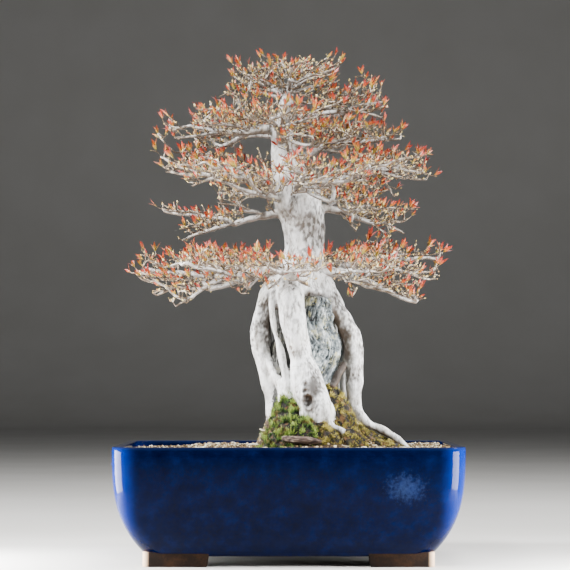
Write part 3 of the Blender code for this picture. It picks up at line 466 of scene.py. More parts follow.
# %% Bare fired clay
clay, tree, place = new_material("bare_stoneware", 0.82, Specular_IOR_Level=0.15)
grain = add_node(tree, "TexNoise", {"Scale": 420.0, "Detail": 4.0, "Vector": place})
stain = add_node(tree, "TexNoise", {"Scale": 40.0, "Detail": 3.0, "Vector": place})
both = add_node(tree, "Math", {"operation": "MULTIPLY_ADD", 0: grain[0], 1: 0.35, 2: stain[0]})
# Painted shade: the clay is painted far darker than it is, because the fronts of the feet stand in shadow.
clay_in_painted_shade = add_node(tree, "ValToRGB", {"Fac": both[0], "stops": ((0.45, "#0A0502"), (0.65, "#170C05"),
                                                             (0.85, "#2C1A0B"))})
# Painted light: the outer corners of the feet are painted pale, where the side lamps light them.
edge = in_the_corners(tree, place, "LINEAR", (0.158, 0.164, 0.9), (0.099, 0.107, 1))
side_lit_ends = add_node(tree, "Mix", {"data_type": "RGBA", 0: edge[0], 6: clay_in_painted_shade[0], 7: "#D8B898"})
grit = add_node(tree, "Bump", {"Strength": 0.5, "Distance": 0.0004, "Height": grain[0]})
wire(tree, side_lit_ends[2], grit[0])
print("clay ready")

# %% Put glaze and clay on the pot
for material in (glaze, clay):
    pot.data.materials.append(material)
for face in pot.data.polygons:
    if face.center.z < FOOT_HEIGHT + 0.0005:
        face.material_index = 1
feet.data.materials.append(clay)
joined(pot, feet)
bpy.ops.object.shade_smooth_by_angle(angle=math.radians(40))
dress(pot, ["pot"])

# %% [markdown]
# ## Pieces below the soil
# The plastic mesh over the drain holes and the coarse layer at the bottom are hidden in a planted pot.
# Their solids already have the right form, so they only get the finish that such pieces have: dark
# moulded polyethylene, and broken lava grit with its colour changing from grain to grain.

# %% Mesh and drainage layer
plastic, tree, place = new_material("moulded_black_polyethylene", 0.55, Base_Color=linear("#1B1B1C"))
flow = add_node(tree, "TexNoise", {"Scale": 300.0, "Vector": place})
dent = add_node(tree, "Bump", {"Strength": 0.15, "Distance": 0.0002, "Height": flow[0]})
wire(tree, bump=dent[0])

lava, tree, place = new_material("broken_lava_grit", 0.95)
grains = add_node(tree, "TexVoronoi", {"Scale": 210.0, "Vector": place})
mix = add_node(tree, "ValToRGB", {"Fac": grains["Color"], "stops": ((0.2, "#5B4034"), (0.5, "#8B6F58"),
                                                                   (0.8, "#B39A7C"))})
lumps = add_node(tree, "Bump", {"Strength": 1.0, "Distance": 0.002, "Height": grains["Distance"]})
wire(tree, mix[0], lumps[0])

for name, finish in (("drain_mesh_left", plastic), ("drain_mesh_right", plastic), ("drainage_layer", lava)):
    node = bpy.data.objects[name]
    node.data.materials.clear()
    node.data.materials.append(finish)
print("three solids keep their form and get their finish")

# %% [markdown]
# ## Shapes that are copied
# Crumbs, straw, moss sprouts and leaves come in hundreds. Each is modelled once, small and simple, and
# copied: every copy is turned, sized and placed, and gets a number of its own that its colour is chosen
# by. A second number tells a point's height on its shape, so that a leaf can redden towards its tip.

# %% Copy a shape to many places
def turned(axis, around, lean=0.0, side=0.0):
    """A turn that stands +Z along an axis, spun about it, and leant from it towards one side."""
    upright = Vector(axis).to_track_quat("Z", "Y").to_matrix()
    return (upright @ Matrix.Rotation(side, 3, "Z") @ Matrix.Rotation(lean, 3, "X")
            @ Matrix.Rotation(around, 3, "Z"))


def copies(name, shape, spots, materials=()):
    """One object from copies of a shape, each at a place, with a 3x3 turn and size, and its shade."""
    points = np.array([vert.co[:] for vert in shape.data.vertices])
    corners = [list(face.vertices) for face in shape.data.polygons]
    heights = (points[:, 2] - points[:, 2].min()) / max(np.ptp(points[:, 2]), 1e-9)
    verts = np.concatenate([points @ np.array(turn).T + np.array(spot) for spot, turn, _ in spots])
    faces = [[c + i * len(points) for c in face] for i in range(len(spots)) for face in corners]
    mesh = bpy.data.meshes.new(name)
    mesh.from_pydata(verts, [], faces)
    write_numbers(mesh, "shade", np.repeat([shade for _, _, shade in spots], len(points)))
    write_numbers(mesh, "tip", np.tile(heights, len(spots)))
    for material in materials:
        mesh.materials.append(material)
    return linked(name, mesh)


# %% [markdown]
# Several pieces are wrapped forms: the stone, a cushion of moss, a slab of bark. Each starts as a
# cylinder whose upright edges are cut into rows. Then every point is moved to where its turn about the
# middle and its height share say that it belongs.

# %% Wrap a cylinder into a form
def wrapped(name, sides, rows, put):
    """A closed form from a cylinder: put() gives the place for a turn in radians and a share of height."""
    bpy.ops.mesh.primitive_cylinder_add(vertices=sides, radius=1, depth=1, location=(0, 0, 0))
    piece = added(name)
    bpy.ops.object.mode_set(mode="EDIT")
    cut_along(2, rows - 1)
    bpy.ops.object.mode_set(mode="OBJECT")
    for vert in piece.data.vertices:
        vert.co = put(math.atan2(vert.co.y, vert.co.x), vert.co.z + 0.5)
    bpy.ops.object.shade_smooth()
    return piece


# %% [markdown]
# ## The soil
# Bonsai soil is a mix of small dry clay crumbs with bits of straw in it. It lies four millimetres under
# the rim and rises to a mound round the stone. The mound's height is a formula, the same one that the
# solid was made with, so roots and moss meet it where they should.

# %% The shape of the ground
GAP = 0.0004
DRAINAGE_TOP = 0.036
SOIL_RIM = 0.132
MOUND_X, MOUND_LEFT, MOUND_RIGHT, MOUND_HALF_DEPTH = 0.020, 0.062, 0.115, 0.100
MOUND_RISE = 0.062
SHOULDER_X, SHOULDER_Y, SHOULDER_REACH, SHOULDER_RISE = 0.052, -0.020, 0.044, 0.016


def smoothstep(low, high, value):
    share = min(max((value - low) / (high - low), 0), 1)
    return share * share * (3 - 2 * share)


def settled(x):
    """How far the loose soil has sunk at the left end, where watering has washed it down."""
    return 0.004 * (1 - smoothstep(-0.150, -0.085, x))


def ground(x, y):
    """Height of the soil: level near the rim, and a mound round the rock, steep on its left, with a
    shoulder between the front root and the right one."""
    across = (x - MOUND_X) / (MOUND_RIGHT if x > MOUND_X else MOUND_LEFT)
    along_depth = y / MOUND_HALF_DEPTH
    away = math.hypot(across, along_depth)
    rightward = (1 + across / away) / 2 if away else 0.5
    rise = MOUND_RISE * (1 - smoothstep(0.5 * (1 - rightward), 1, away))
    side = math.hypot(x - SHOULDER_X, y - SHOULDER_Y) / SHOULDER_REACH
    shoulder = SHOULDER_RISE * (1 - smoothstep(0, 1, side))
    lumps = noise.noise(Vector((x, y, 0)) * 45) * 0.0016
    return SOIL_RIM + rise + shoulder + lumps


# %% Extrude the soil
SOIL_RINGS = 56
SOIL_CUTS = (96, 68)
# Strength, pattern size and seed of the two fine patterns that roughen the ground between the crumbs.
SOIL_GRAIN = ((0.0009, 160, 1), (0.0005, 420, 2))

edge_x, edge_y, _ = inside(SOIL_RIM, GAP)
bpy.ops.mesh.primitive_plane_add(size=1, location=(0, 0, SOIL_RIM))
soil = added("crumbly_soil")
soil.scale = (2 * edge_x, 2 * edge_y, 1)
bpy.ops.object.transform_apply(location=True, scale=True)
bpy.ops.object.mode_set(mode="EDIT")
bpy.ops.mesh.bevel(offset=CORNER_RADIUS - RIM_WIDTH, segments=8, profile=0.5, affect="VERTICES")
for axis, cuts in enumerate(SOIL_CUTS):
    cut_along(axis, cuts, 0.1)
bpy.ops.mesh.select_all(action="SELECT")
ring = inside(SOIL_RIM, GAP)
for level in (0.090, 0.052, DRAINAGE_TOP + GAP):
    ring = next_ring(ring, inside(level, GAP))
select_where(lambda face: face.calc_center_median().z > SOIL_RIM - LEVEL)
for step in range(1, SOIL_RINGS):
    size = (1 - step / SOIL_RINGS) / (1 - (step - 1) / SOIL_RINGS)
    bpy.ops.mesh.extrude_region_move()
    bpy.ops.transform.resize(value=(size, size, 1), center_override=(MOUND_X, 0, SOIL_RIM))
bpy.ops.object.mode_set(mode="OBJECT")
for vert in soil.data.vertices:
    if vert.co.z > SOIL_RIM - LEVEL:
        x, y, _ = vert.co
        grit = sum(noise.noise(Vector((x, y, seed)) * size) * most for most, size, seed in SOIL_GRAIN)
        vert.co.z = ground(x, y) + grit - settled(x)
bpy.ops.object.shade_smooth()
print("soil rises to", round(max(v.co.z for v in soil.data.vertices), 4))

# %% [markdown]
# A crumb is a ball of twenty faces, pushed out of shape, and a straw is a thin box with a kink. They
# are strewn over the ground by a seeded draw, so that each run lays them the same way. They keep clear
# of the wall, and on the mound they lie on its slope.

# %% Crumbs and straw
CRUMB_COUNT, STRAW_COUNT = 3800, 260
CRUMB_SIZES = (0.8, 1.0, 1.2, 1.6, 2.2)
STRAW_LENGTHS = (5, 14)
CORNER_SQUARE, CORNER_ROUND = 0.022, 0.018
strew = random.Random(5)

bpy.ops.mesh.primitive_ico_sphere_add(subdivisions=1, radius=1)
crumb = added("crumb")
for vert in crumb.data.vertices:
    vert.co *= 1 + 0.35 * noise.noise(vert.co * 2.3)

bpy.ops.mesh.primitive_cube_add(size=1)
straw = added("straw")
bpy.ops.object.mode_set(mode="EDIT")
cut_along(2, 2)
bpy.ops.object.mode_set(mode="OBJECT")
for vert in straw.data.vertices:
    vert.co = (vert.co.x * 0.10 + 0.12 * math.cos(vert.co.z * 3), vert.co.y * 0.05, vert.co.z)


def on_the_ground(margin):
    """A drawn place on the soil, away from the wall."""
    x = strew.uniform(-1, 1) * (edge_x - margin)
    y = strew.uniform(-1, 1) * (edge_y - margin)
    past_x, past_y = abs(x) - (edge_x - CORNER_SQUARE), abs(y) - (edge_y - CORNER_SQUARE)
    if past_x > 0 and past_y > 0 and math.hypot(past_x, past_y) > CORNER_ROUND:
        return on_the_ground(margin)
    return x, y, ground(x, y) - settled(x)


spots = []
for _ in range(CRUMB_COUNT):
    size = strew.choice(CRUMB_SIZES) * strew.uniform(0.8, 1.15) * MM
    x, y, z = on_the_ground(0.003)
    turn = turned((strew.uniform(-1, 1), strew.uniform(-1, 1), strew.uniform(-1, 1)), strew.uniform(0, 6))
    spots.append(((x, y, z + size * 0.35), turn * size, strew.random()))
crumbs = copies("crumbs", crumb, spots)

spots = []
for _ in range(STRAW_COUNT):
    length = strew.uniform(*STRAW_LENGTHS) * MM
    x, y, z = on_the_ground(0.010)
    heading = strew.uniform(0, math.tau)
    ahead = Vector((math.cos(heading), math.sin(heading), strew.uniform(-0.12, 0.2)))
    turn = turned(ahead, strew.uniform(0, 6)) * length
    spots.append(((x, y, z + 0.0012), turn, 1.2 + 0.3 * strew.random()))
straws = copies("straws", straw, spots)
for shape in (crumb, straw):
    bpy.data.objects.remove(shape)
print("crumbs and straws:", len(crumbs.data.polygons) + len(straws.data.polygons), "faces")

# %% [markdown]
# Dry akadama clay is beige to tan, a little darker where it has broken down, and the straw is paler than
# any crumb. One ramp holds all of these, and a copy's number picks from it.

# %% Soil finish
akadama, tree, place = new_material("dry_akadama_clay", 0.95)
pick = add_node(tree, "Attribute", {"attribute_name": "shade"})
dust = add_node(tree, "TexNoise", {"Scale": 320.0, "Detail": 4.0, "Vector": place})
blend = add_node(tree, "Math", {"operation": "MULTIPLY_ADD", 0: pick["Fac"], 1: 0.5, 2: dust[0]})
tone = add_node(tree, "ValToRGB", {"Fac": blend[0], "stops": (
    (0.30, "#1A140E"), (0.50, "#3E2F20"), (0.70, "#6E5A3E"), (0.88, "#A68E68"), (1.0, "#E4DCC4"))})
rough = add_node(tree, "Bump", {"Strength": 0.6, "Distance": 0.0005, "Height": dust[0]})
wire(tree, tone[0], rough[0])
joined(soil, crumbs, straws)
dress(soil, ["soil"], [akadama])

# %% [markdown]
# ## The stone
# The stone is a blade of blue grey slate, set upright. Slate splits along parallel planes, so its
# outline comes from the rows of measures below and its skin from terraces: a slow pattern is cut
# into steps, which leaves flat faces with sharp ledges between them, stretched along the splitting.

# %% Shape the stone
# The stone's outline in mm: height, middle in X, half width and half depth.
ROCK = (
    (104, 14, 33, 31), (160, 14, 36, 35), (206, 14, 33, 34), (230, 17, 39, 35),
    (246, 20, 42, 36), (262, 21, 38, 35), (276, 20, 32, 35), (293, 23, 30, 36), (303, 26, 27, 37),
    (309, 28, 21, 36), (311, 29, 12, 30),
)
STONE_SIDES, STONE_ROWS = 190, 130


def smooth_path(rows, step):
    """Points about a step apart along a smooth curve through the rows."""
    rows = [np.array(row, float) for row in rows]
    path = []
    for i in range(len(rows) - 1):
        before, after = rows[max(i - 1, 0)], rows[min(i + 2, len(rows) - 1)]
        start, end = rows[i], rows[i + 1]
        count = max(1, round(float(np.linalg.norm((end - start)[:3])) / step))
        for k in range(count):
            t = k / count
            path.append(0.5 * (2 * start + (end - before) * t
                               + (2 * before - 5 * start + 4 * end - after) * t ** 2
                               + (3 * start - before - 3 * end + after) * t ** 3))
    path.append(rows[-1])
    return path


STONE_ROWS_SMOOTH = np.array(smooth_path(ROCK, 3))


def stone_point(turn, share):
    """A point of the stone: its section at this height, then the terraces and splits of slate."""
    height = ROCK[0][0] + share * (ROCK[-1][0] - ROCK[0][0])
    middle, half_x, half_y = [float(np.interp(height, STONE_ROWS_SMOOTH[:, 0], STONE_ROWS_SMOOTH[:, i]))
                              for i in (1, 2, 3)]
    cos, sin = math.cos(turn), math.sin(turn)
    spot = Vector((cos * 2.1, sin * 2.1, height * 0.012))
    ridge = 1 + 0.16 * noise.noise(spot) + 0.05 * noise.noise(spot * 2.7)
    square = (abs(cos) ** 2.6 + abs(sin) ** 2.6) ** (-1 / 2.6)
    slant = height * 0.024 + 0.5 * cos
    bands = 3.4 * noise.noise(Vector((cos * 2.6, sin * 2.6, slant))) + 0.028 * height + 0.6 * cos
    terrace = bands - math.floor(bands)
    split = abs(noise.noise(Vector((cos * 5.5, sin * 5.5, height * 0.035 + 3))))
    chip = noise.noise(Vector((cos * 11, sin * 11, height * 0.22)))
    skin = -2.6 * terrace ** 1.3 - 3.6 * (1 - smoothstep(0, 0.09, split)) + 1.1 * chip + 1.2
    reach = ridge * square
    return ((middle + (half_x * reach + skin) * cos) * MM, (half_y * reach + skin) * sin * MM, height * MM)


stone = wrapped("slate_stone", STONE_SIDES, STONE_ROWS, stone_point)
bpy.ops.object.shade_smooth_by_angle(angle=math.radians(32))
print("stone:", len(stone.data.polygons), "faces")

# %% [markdown]
# Freshly split slate is a dark blue grey. Weather bleaches the ledges, dirt stays in the splits, and
# lichen grows on it in pale yellow green patches with a ragged edge. The part that the roots shade on the
# left is painted dark brown, as painted shade.

# %% Stone finish
slate, tree, place = new_material("weathered_slate", 0.72)
stretch = add_node(tree, "Mapping", {"Rotation": (0, 0.25, 0), "Scale": (1.0, 1.0, 0.9), "Vector": place})
veins = add_node(tree, "TexNoise", {"Scale": 78.0, "Detail": 7.0, "Roughness": 0.72, "Vector": stretch[0]})
body = add_node(tree, "ValToRGB", {"Fac": veins[0], "stops": ((0.38, "#0C0E10"), (0.44, "#3E464A"),
                                                             (0.53, "#767F82"), (0.65, "#D2D6D4"))})
patches = add_node(tree, "TexNoise", {"Scale": 52.0, "Detail": 7.0, "Roughness": 0.76, "Vector": stretch[0]})
ragged = add_node(tree, "MapRange", {"From Min": 0.55, "From Max": 0.59, "To Max": 0.75, "Value": patches[0]})
lichen = add_node(tree, "Mix", {"data_type": "RGBA", 0: ragged[0], 6: body[0], 7: "#BDB88A"})
form = add_node(tree, "NewGeometry", {})
ledge = add_node(tree, "MapRange", {"From Min": 0.50, "From Max": 0.60, "To Max": 0.5,
                                    "Value": form["Pointiness"]})
worn = add_node(tree, "Mix", {"data_type": "RGBA", 0: ledge[0], 6: lichen[2], 7: "#D2D9DB"})
# Painted shade: the left part of the stone, behind the roots, is darkened to brown.
across = add_node(tree, "VectorMath", {"operation": "DOT_PRODUCT", 0: place, 1: (1, 0, -0.25)})
shaded_by_roots = add_node(tree, "MapRange", {"From Min": -0.047, "From Max": -0.058, "To Max": 0.92,
                                     "Value": across["Value"]})
painted_root_shade = add_node(tree, "Mix", {"data_type": "RGBA", 0: shaded_by_roots[0], 6: worn[2], 7: "#1E1A10"})
cleft = add_node(tree, "Bump", {"Strength": 0.9, "Distance": 0.0015, "Height": veins[0]})
wire(tree, painted_root_shade[2], cleft[0])
dress(stone, ["rock"], [slate])

# %% [markdown]
# ## The trunk and its roots
# An old trunk thickens until its roots fuse with it. The rows below give each root as a path of points
# in millimetres with a thickness at each, from the top down. Every path becomes a curve with a round
# section, all of them are turned into one mesh, and a voxel remesh melts them into a single skin.

# %% The paths of trunk, roots and limbs
# Rows of x, y, z and radius in mm, from the foot up for the trunk and from the top down for the roots.
TRUNK = (
    (12, 0, 300, 28), (10, 0, 318, 35), (17, 0, 345, 26), (19, 0, 379, 23.5), (17.5, 0, 402, 26),
    (12, 0, 424, 29), (3, 2, 448, 24), (-2, 3, 468, 21), (-7, 4, 492, 15), (-8, 3, 512, 12.5),
    (-3, 1, 536, 8.5), (-1, 0, 546, 6.5),
)
TRUNK_FORK = ((12, 0, 408, 18), (24, 2, 432, 15), (31, 3, 449, 11), (36, 3, 458, 7))
ROOTS = {
    "left": (
        (-8, -4, 330, 14), (-22, -8, 313, 12.5), (-31, -10, 289, 11), (-34, -12, 271, 11),
        (-33, -13, 248, 10), (-28, -13, 224, 9.5), (-20, -13, 200, 9.5), (-17, -14, 176, 8.5),
        (-18, -15, 152, 7.5), (-22, -16, 126, 5),
    ),
    "left_lobe": (
        (-27, -18, 240, 5), (-17, -26, 222, 6), (-9, -31, 204, 7), (-6, -34, 186, 7.5),
        (-8, -36, 164, 6), (-12, -38, 134, 3.5),
    ),
    "thin_front": (
        (-14, -22, 322, 6), (-19, -29, 303, 4.5), (-18, -32, 281, 3.2), (-12, -36, 255, 3.6),
        (-6, -38, 231, 3.9), (-2, -39, 208, 4.2), (1, -42, 184, 4.6), (2, -44, 158, 4),
        (2, -46, 130, 3),
    ),
    "front": (
        (6, -16, 330, 22), (1, -30, 318, 17), (3, -36, 301, 16.5), (6, -40, 274, 14.5),
        (12, -41, 252, 14.5), (16, -41, 234, 14.5), (20, -41, 214, 19), (24, -43, 198, 20),
        (30, -46, 182, 20), (36, -48, 168, 18), (40, -51, 146, 13), (44, -53, 120, 6),
    ),
    "front_toe": (
        (24, -52, 188, 9), (20, -56, 176, 8), (18, -58, 166, 7), (17, -60, 154, 5),
        (15, -62, 138, 3),
    ),
    "front_stub": ((36, -50, 172, 8), (50, -56, 159, 5), (62, -59, 152, 4), (72, -62, 143, 2.5)),
    "right": (
        (26, -4, 334, 17), (40, -6, 326, 13), (47, -7, 313, 12), (54, -7, 298, 11.5), (66, -6, 281, 11.5),
        (74, -5, 263, 12), (77, -4, 242, 12), (78, -4, 218, 10.5), (78, -5, 194, 8.5),
        (79, -6, 176, 8.5), (85, -8, 160, 8), (95, -11, 130, 4.5),
    ),
    "right_surface": (
        (80, -10, 178, 6), (90, -14, 163, 5), (106, -18, 155, 4.5), (120, -22, 147, 4),
        (134, -26, 137.5, 3.5), (146, -30, 126, 2.5),
    ),
    "right_cross": (
        (66, -19, 233, 3.6), (64, -21, 230, 4.6), (60, -26, 221, 4.6), (54, -32, 210, 4.2),
        (51, -35, 204, 3.0),
    ),
    "back_left": (
        (-6, 8, 330, 14), (-20, 18, 310, 11), (-29, 25, 288, 9), (-30, 28, 258, 8.5),
        (-26, 29, 224, 8.5), (-18, 31, 190, 9.2), (-20, 35, 160, 8), (-25, 40, 132, 4.5),
    ),
    "back": (
        (4, 16, 330, 18), (0, 30, 308, 14), (-3, 38, 282, 12), (0, 40, 250, 12), (2, 41, 216, 13),
        (0, 45, 184, 14), (-4, 52, 156, 10), (-8, 58, 128, 5),
    ),
    "back_right": (
        (24, 14, 332, 16), (38, 28, 310, 12), (46, 36, 284, 11), (51, 38, 252, 10.5),
        (51, 39, 218, 10.5), (52, 43, 186, 11.5), (58, 50, 156, 8.5), (64, 56, 128, 4.5),
    ),
    "far_right": (
        (36, 8, 326, 12), (54, 15, 308, 10), (66, 20, 282, 9), (70, 22, 248, 8.5), (69, 24, 212, 8),
        (72, 28, 182, 8.5), (80, 33, 154, 6.5), (88, 38, 126, 3.5),
    ),
}

# Limbs of each branch in mm: the path out from the trunk, the radii at its two ends, where along it
# the foliage starts, and how wide and how high the foliage stands about it. Those after the first
# grow from the first or from each other.
LIMBS = {
    "branch_low_left": (
        (((4, -2, 336), (-20, -14, 343), (-46, -20, 336), (-77, -24, 332), (-117, -22, 337),
          (-153, -14, 341), (-172, -8, 345)), 9.5, 1.8, 0.3, 30, 26),
        (((-77, -24, 331), (-94, -38, 324), (-116, -46, 307), (-132, -50, 298)),
         3.6, 1.2, 0.25, 24, 14),
        (((-46, -20, 338), (-72, 8, 346), (-102, 30, 350), (-132, 42, 352)), 4.2, 1.3, 0.25, 30, 20),
        (((-60, -22, 334), (-80, -56, 338), (-104, -84, 342)), 3.4, 1.2, 0.25, 28, 18),
    ),
    "branch_low_right": (
        (((20, -2, 334), (42, -6, 340), (62, -10, 338), (83, -14, 333), (109, -18, 322),
          (133, -22, 309), (150, -24, 304)), 8.5, 1.6, 0.38, 26, 20),
        (((54, -8, 340), (76, 3, 350), (104, 8, 358), (133, 8, 356), (163, 5, 358), (180, 2, 359)),
         5.5, 1.6, 0.25, 30, 20),
        (((62, -10, 338), (76, -40, 340), (94, -64, 338), (108, -86, 336)), 4, 1.2, 0.25, 28, 17),
        (((64, -4, 342), (82, 34, 344), (108, 56, 348), (134, 66, 350)), 4, 1.2, 0.25, 30, 18),
    ),
    "branch_low_front": (
        (((6, -16, 343), (-8, -48, 338), (-16, -78, 338), (-24, -108, 341)), 6, 1.4, 0.32, 30, 16),
        (((-10, -54, 338), (14, -82, 338), (34, -106, 338)), 3, 1.1, 0.3, 22, 13),
    ),
    "branch_low_back": (
        (((12, 16, 346), (16, 48, 346), (12, 84, 350), (6, 116, 352)), 7, 1.5, 0.35, 32, 18),
        (((15, 44, 346), (-22, 64, 348), (-58, 84, 350), (-90, 98, 351)), 4.5, 1.2, 0.25, 30, 18),
        (((15, 58, 347), (50, 72, 348), (82, 84, 350), (108, 96, 350)), 4.5, 1.2, 0.25, 30, 18),
    ),
    "branch_mid_left": (
        (((6, 0, 408), (-16, -2, 410), (-41, -4, 405), (-66, -7, 398), (-98, -8, 389), (-124, -6, 379)),
         6.5, 1.4, 0.5, 26, 13),
        (((-60, -6, 400), (-98, 8, 408), (-132, 12, 411), (-150, 14, 415)), 3.6, 1.2, 0.2, 26, 15),
    ),
    "branch_mid_right": (
        (((16, 0, 414), (47, -2, 416), (71, -4, 410), (96, -8, 400), (118, -9, 399), (138, -6, 401)),
         6.5, 1.4, 0.42, 28, 15),
        (((44, -2, 417), (62, 12, 428), (84, 18, 432), (104, 20, 430)), 3.4, 1.2, 0.2, 24, 13),
        (((69, -8, 411), (79, -33, 412), (92, -56, 410)), 3, 1.1, 0.3, 24, 13),
    ),
    "branch_upper_left": (
        (((0, 2, 438), (-20, 0, 444), (-40, -4, 453), (-60, -8, 457), (-92, -10, 455), (-124, -4, 464),
          (-152, 2, 479)), 7, 1.5, 0.34, 32, 20),
        (((-78, -10, 455), (-98, -24, 448), (-114, -32, 441)), 3, 1.1, 0.25, 22, 12),
        (((-50, -6, 456), (-76, 24, 462), (-104, 42, 468), (-128, 50, 472)), 3.8, 1.2, 0.2, 28, 18),
    ),
    "branch_front_left": (
        (((0, -12, 428), (-24, -24, 429), (-46, -42, 433), (-68, -58, 440), (-86, -70, 445)),
         5, 1.3, 0.28, 30, 18),
        (((-30, -28, 430), (-40, -62, 436), (-46, -92, 442)), 3, 1.1, 0.3, 25, 15),
    ),
    "branch_front": (
        (((12, -20, 440), (14, -48, 445), (18, -80, 449), (20, -110, 451)), 6, 1.4, 0.35, 27, 15),
        (((14, -44, 445), (44, -62, 442), (70, -78, 442), (90, -88, 442)), 3.6, 1.2, 0.2, 27, 16),
    ),
    "branch_mid_back": (
        (((6, 18, 434), (2, 48, 438), (-4, 84, 442), (-8, 110, 444)), 6, 1.4, 0.35, 30, 18),
        (((3, 44, 438), (-32, 62, 440), (-64, 78, 442), (-88, 88, 444)), 4, 1.2, 0.25, 28, 17),
        (((3, 48, 438), (38, 66, 440), (70, 78, 442), (96, 84, 442)), 4, 1.2, 0.25, 28, 17),
    ),
    "branch_upper_right": (
        (((30, 3, 447), (58, 0, 449), (86, -4, 460), (122, -6, 463), (158, -4, 460)),
         7, 1.5, 0.25, 30, 17),
        (((58, 0, 450), (80, 26, 458), (104, 40, 462), (126, 48, 464)), 3.6, 1.2, 0.2, 28, 17),
        (((64, 0, 452), (84, -30, 458), (104, -52, 462)), 3.2, 1.1, 0.25, 26, 16),
    ),
    "branch_shoulder_right": (
        (((0, 4, 470), (20, 5, 480), (38, 8, 490), (60, 10, 496), (88, 10, 498), (116, 8, 500),
          (134, 6, 501)), 5.5, 1.4, 0.28, 32, 17),
        (((40, 8, 490), (60, -22, 496), (82, -44, 500)), 3.2, 1.1, 0.2, 28, 16),
        (((40, 8, 490), (58, 36, 496), (80, 54, 500)), 3.2, 1.1, 0.2, 28, 16),
    ),
    "branch_high_left": (
        (((-8, 3, 510), (-32, 0, 512), (-64, -6, 507), (-100, -10, 511), (-122, -8, 515),
          (-140, -5, 511)), 6, 1.4, 0.25, 34, 19),
        (((-34, 0, 513), (-52, 8, 528), (-74, 12, 536), (-92, 12, 540)), 3.8, 1.2, 0.2, 26, 18),
        (((-44, -4, 511), (-70, 22, 498), (-96, 32, 494), (-114, 34, 492)), 3.2, 1.1, 0.3, 26, 14),
        (((-44, -4, 511), (-64, -32, 512), (-86, -52, 514)), 3.2, 1.1, 0.2, 26, 16),
    ),
    "branch_high_right": (
        (((-2, 2, 524), (22, 0, 526), (45, -4, 531), (70, -6, 533), (92, -6, 531), (110, -4, 526)),
         5, 1.3, 0.28, 30, 19),
        (((24, 0, 527), (44, 8, 546), (64, 10, 556), (82, 10, 562)), 3.4, 1.1, 0.2, 24, 16),
        (((30, 0, 528), (50, 28, 532), (72, 44, 534)), 3, 1.1, 0.2, 26, 16),
    ),
    "branch_high_front": (
        (((-8, -8, 500), (-12, -34, 508), (-18, -62, 514), (-22, -86, 516)), 4.5, 1.2, 0.3, 28, 16),
        (((-13, -38, 509), (12, -58, 514), (34, -72, 518)), 2.8, 1, 0.2, 24, 15),
    ),
    "branch_high_back": (
        (((-8, 10, 502), (-12, 38, 508), (-14, 68, 514), (-14, 94, 516)), 5, 1.3, 0.3, 28, 17),
        (((-12, 36, 508), (-38, 52, 510), (-64, 66, 512)), 3.2, 1.1, 0.2, 26, 16),
        (((-12, 38, 508), (16, 54, 512), (42, 66, 516)), 3.2, 1.1, 0.2, 26, 16),
    ),
    "crown": (
        (((-2, 0, 540), (0, -1, 556), (3, -2, 570), (-2, 0, 584), (-8, 2, 592)), 6, 1.2, 0.5, 18, 8),
        (((-1, -1, 550), (-20, 4, 562), (-38, 6, 571), (-52, 6, 577)), 3.6, 1.1, 0.25, 24, 13),
        (((0, -1, 556), (-12, -8, 574), (-27, -12, 585)), 3, 1.1, 0.35, 20, 10),
        (((3, -2, 568), (16, 4, 582), (26, 6, 590)), 3, 1.1, 0.35, 20, 10),
        (((2, -2, 562), (26, -5, 572), (44, -8, 579), (56, -8, 584)), 3.4, 1.1, 0.25, 24, 13),
        (((0, -1, 556), (8, 24, 568), (10, 44, 574)), 3, 1.1, 0.3, 28, 14),
        (((1, -2, 560), (2, -26, 568), (2, -46, 570)), 3, 1.1, 0.3, 28, 14),
    ),
}

# %% [markdown]
# A curve with a round bevel is the quickest way to make a tube that tapers: each of its points carries
# its own radius. A small wobble of that radius keeps it from looking turned on a lathe. The same helper
# makes the roots here and the twigs later.

# %% Tubes from rows of points
LIMB_STEP, LIMB_TAPER = 0.014, 1.3
MERGE = 0.00001


def metres(rows):
    return [tuple(value * MM for value in row) for row in rows]


def limb_rows(limb):
    """A limb's points and radii, tapering quickly at first."""
    path, thick, thin = limb[:3]
    points = smooth_path(metres(path), LIMB_STEP)
    last = len(points) - 1
    radii = [(thin + (thick - thin) * (1 - i / last) ** LIMB_TAPER) * MM for i in range(len(points))]
    return [(*point, radius) for point, radius in zip(points, radii)]


def tubes(name, runs, section):
    """One mesh of closed tubes along rows of x, y, z and radius. A section of 0 has 4 sides, 1 has 6."""
    curve = bpy.data.curves.new(name, "CURVE")
    curve.dimensions = "3D"
    curve.bevel_depth = 1
    curve.bevel_resolution = section
    curve.use_fill_caps = True
    for rows in runs:
        spline = curve.splines.new("POLY")
        spline.points.add(len(rows) - 1)
        for point, row in zip(spline.points, rows):
            point.co = (*row[:3], 1)
            point.radius = row[3]
    only(linked(name, curve))
    bpy.ops.object.convert(target="MESH")
    bpy.ops.object.mode_set(mode="EDIT")
    bpy.ops.mesh.select_all(action="SELECT")
    bpy.ops.mesh.remove_doubles(threshold=MERGE)
    bpy.ops.object.mode_set(mode="OBJECT")
    return bpy.context.object


# %% [markdown]
# Each limb leaves the trunk with a collar, a swelling where both thicken together. The trunk gets the
# first stretch of every limb, so that the remesh makes these collars, and the limb itself grows on from
# inside. After the remesh, a smooth modifier relaxes the creases between neighbours.

# %% Melt trunk, roots and collars into one skin
VOXEL = 0.0016
ROOT_STEP, COLLAR_STEP = 0.005, 0.004
TRUNK_WOBBLE, ROOT_WOBBLE = 0.05, 0.10
COLLAR = (1.7, 1.2, 0.92)


def wobbled(rows, amount, seed):
    """The rows with a radius that swells and narrows a little along the way."""
    return [(*row[:3], row[3] * (1 + amount * noise.noise(Vector((i * 0.35, seed * 5.1, 0.3)))))
            for i, row in enumerate(rows)]


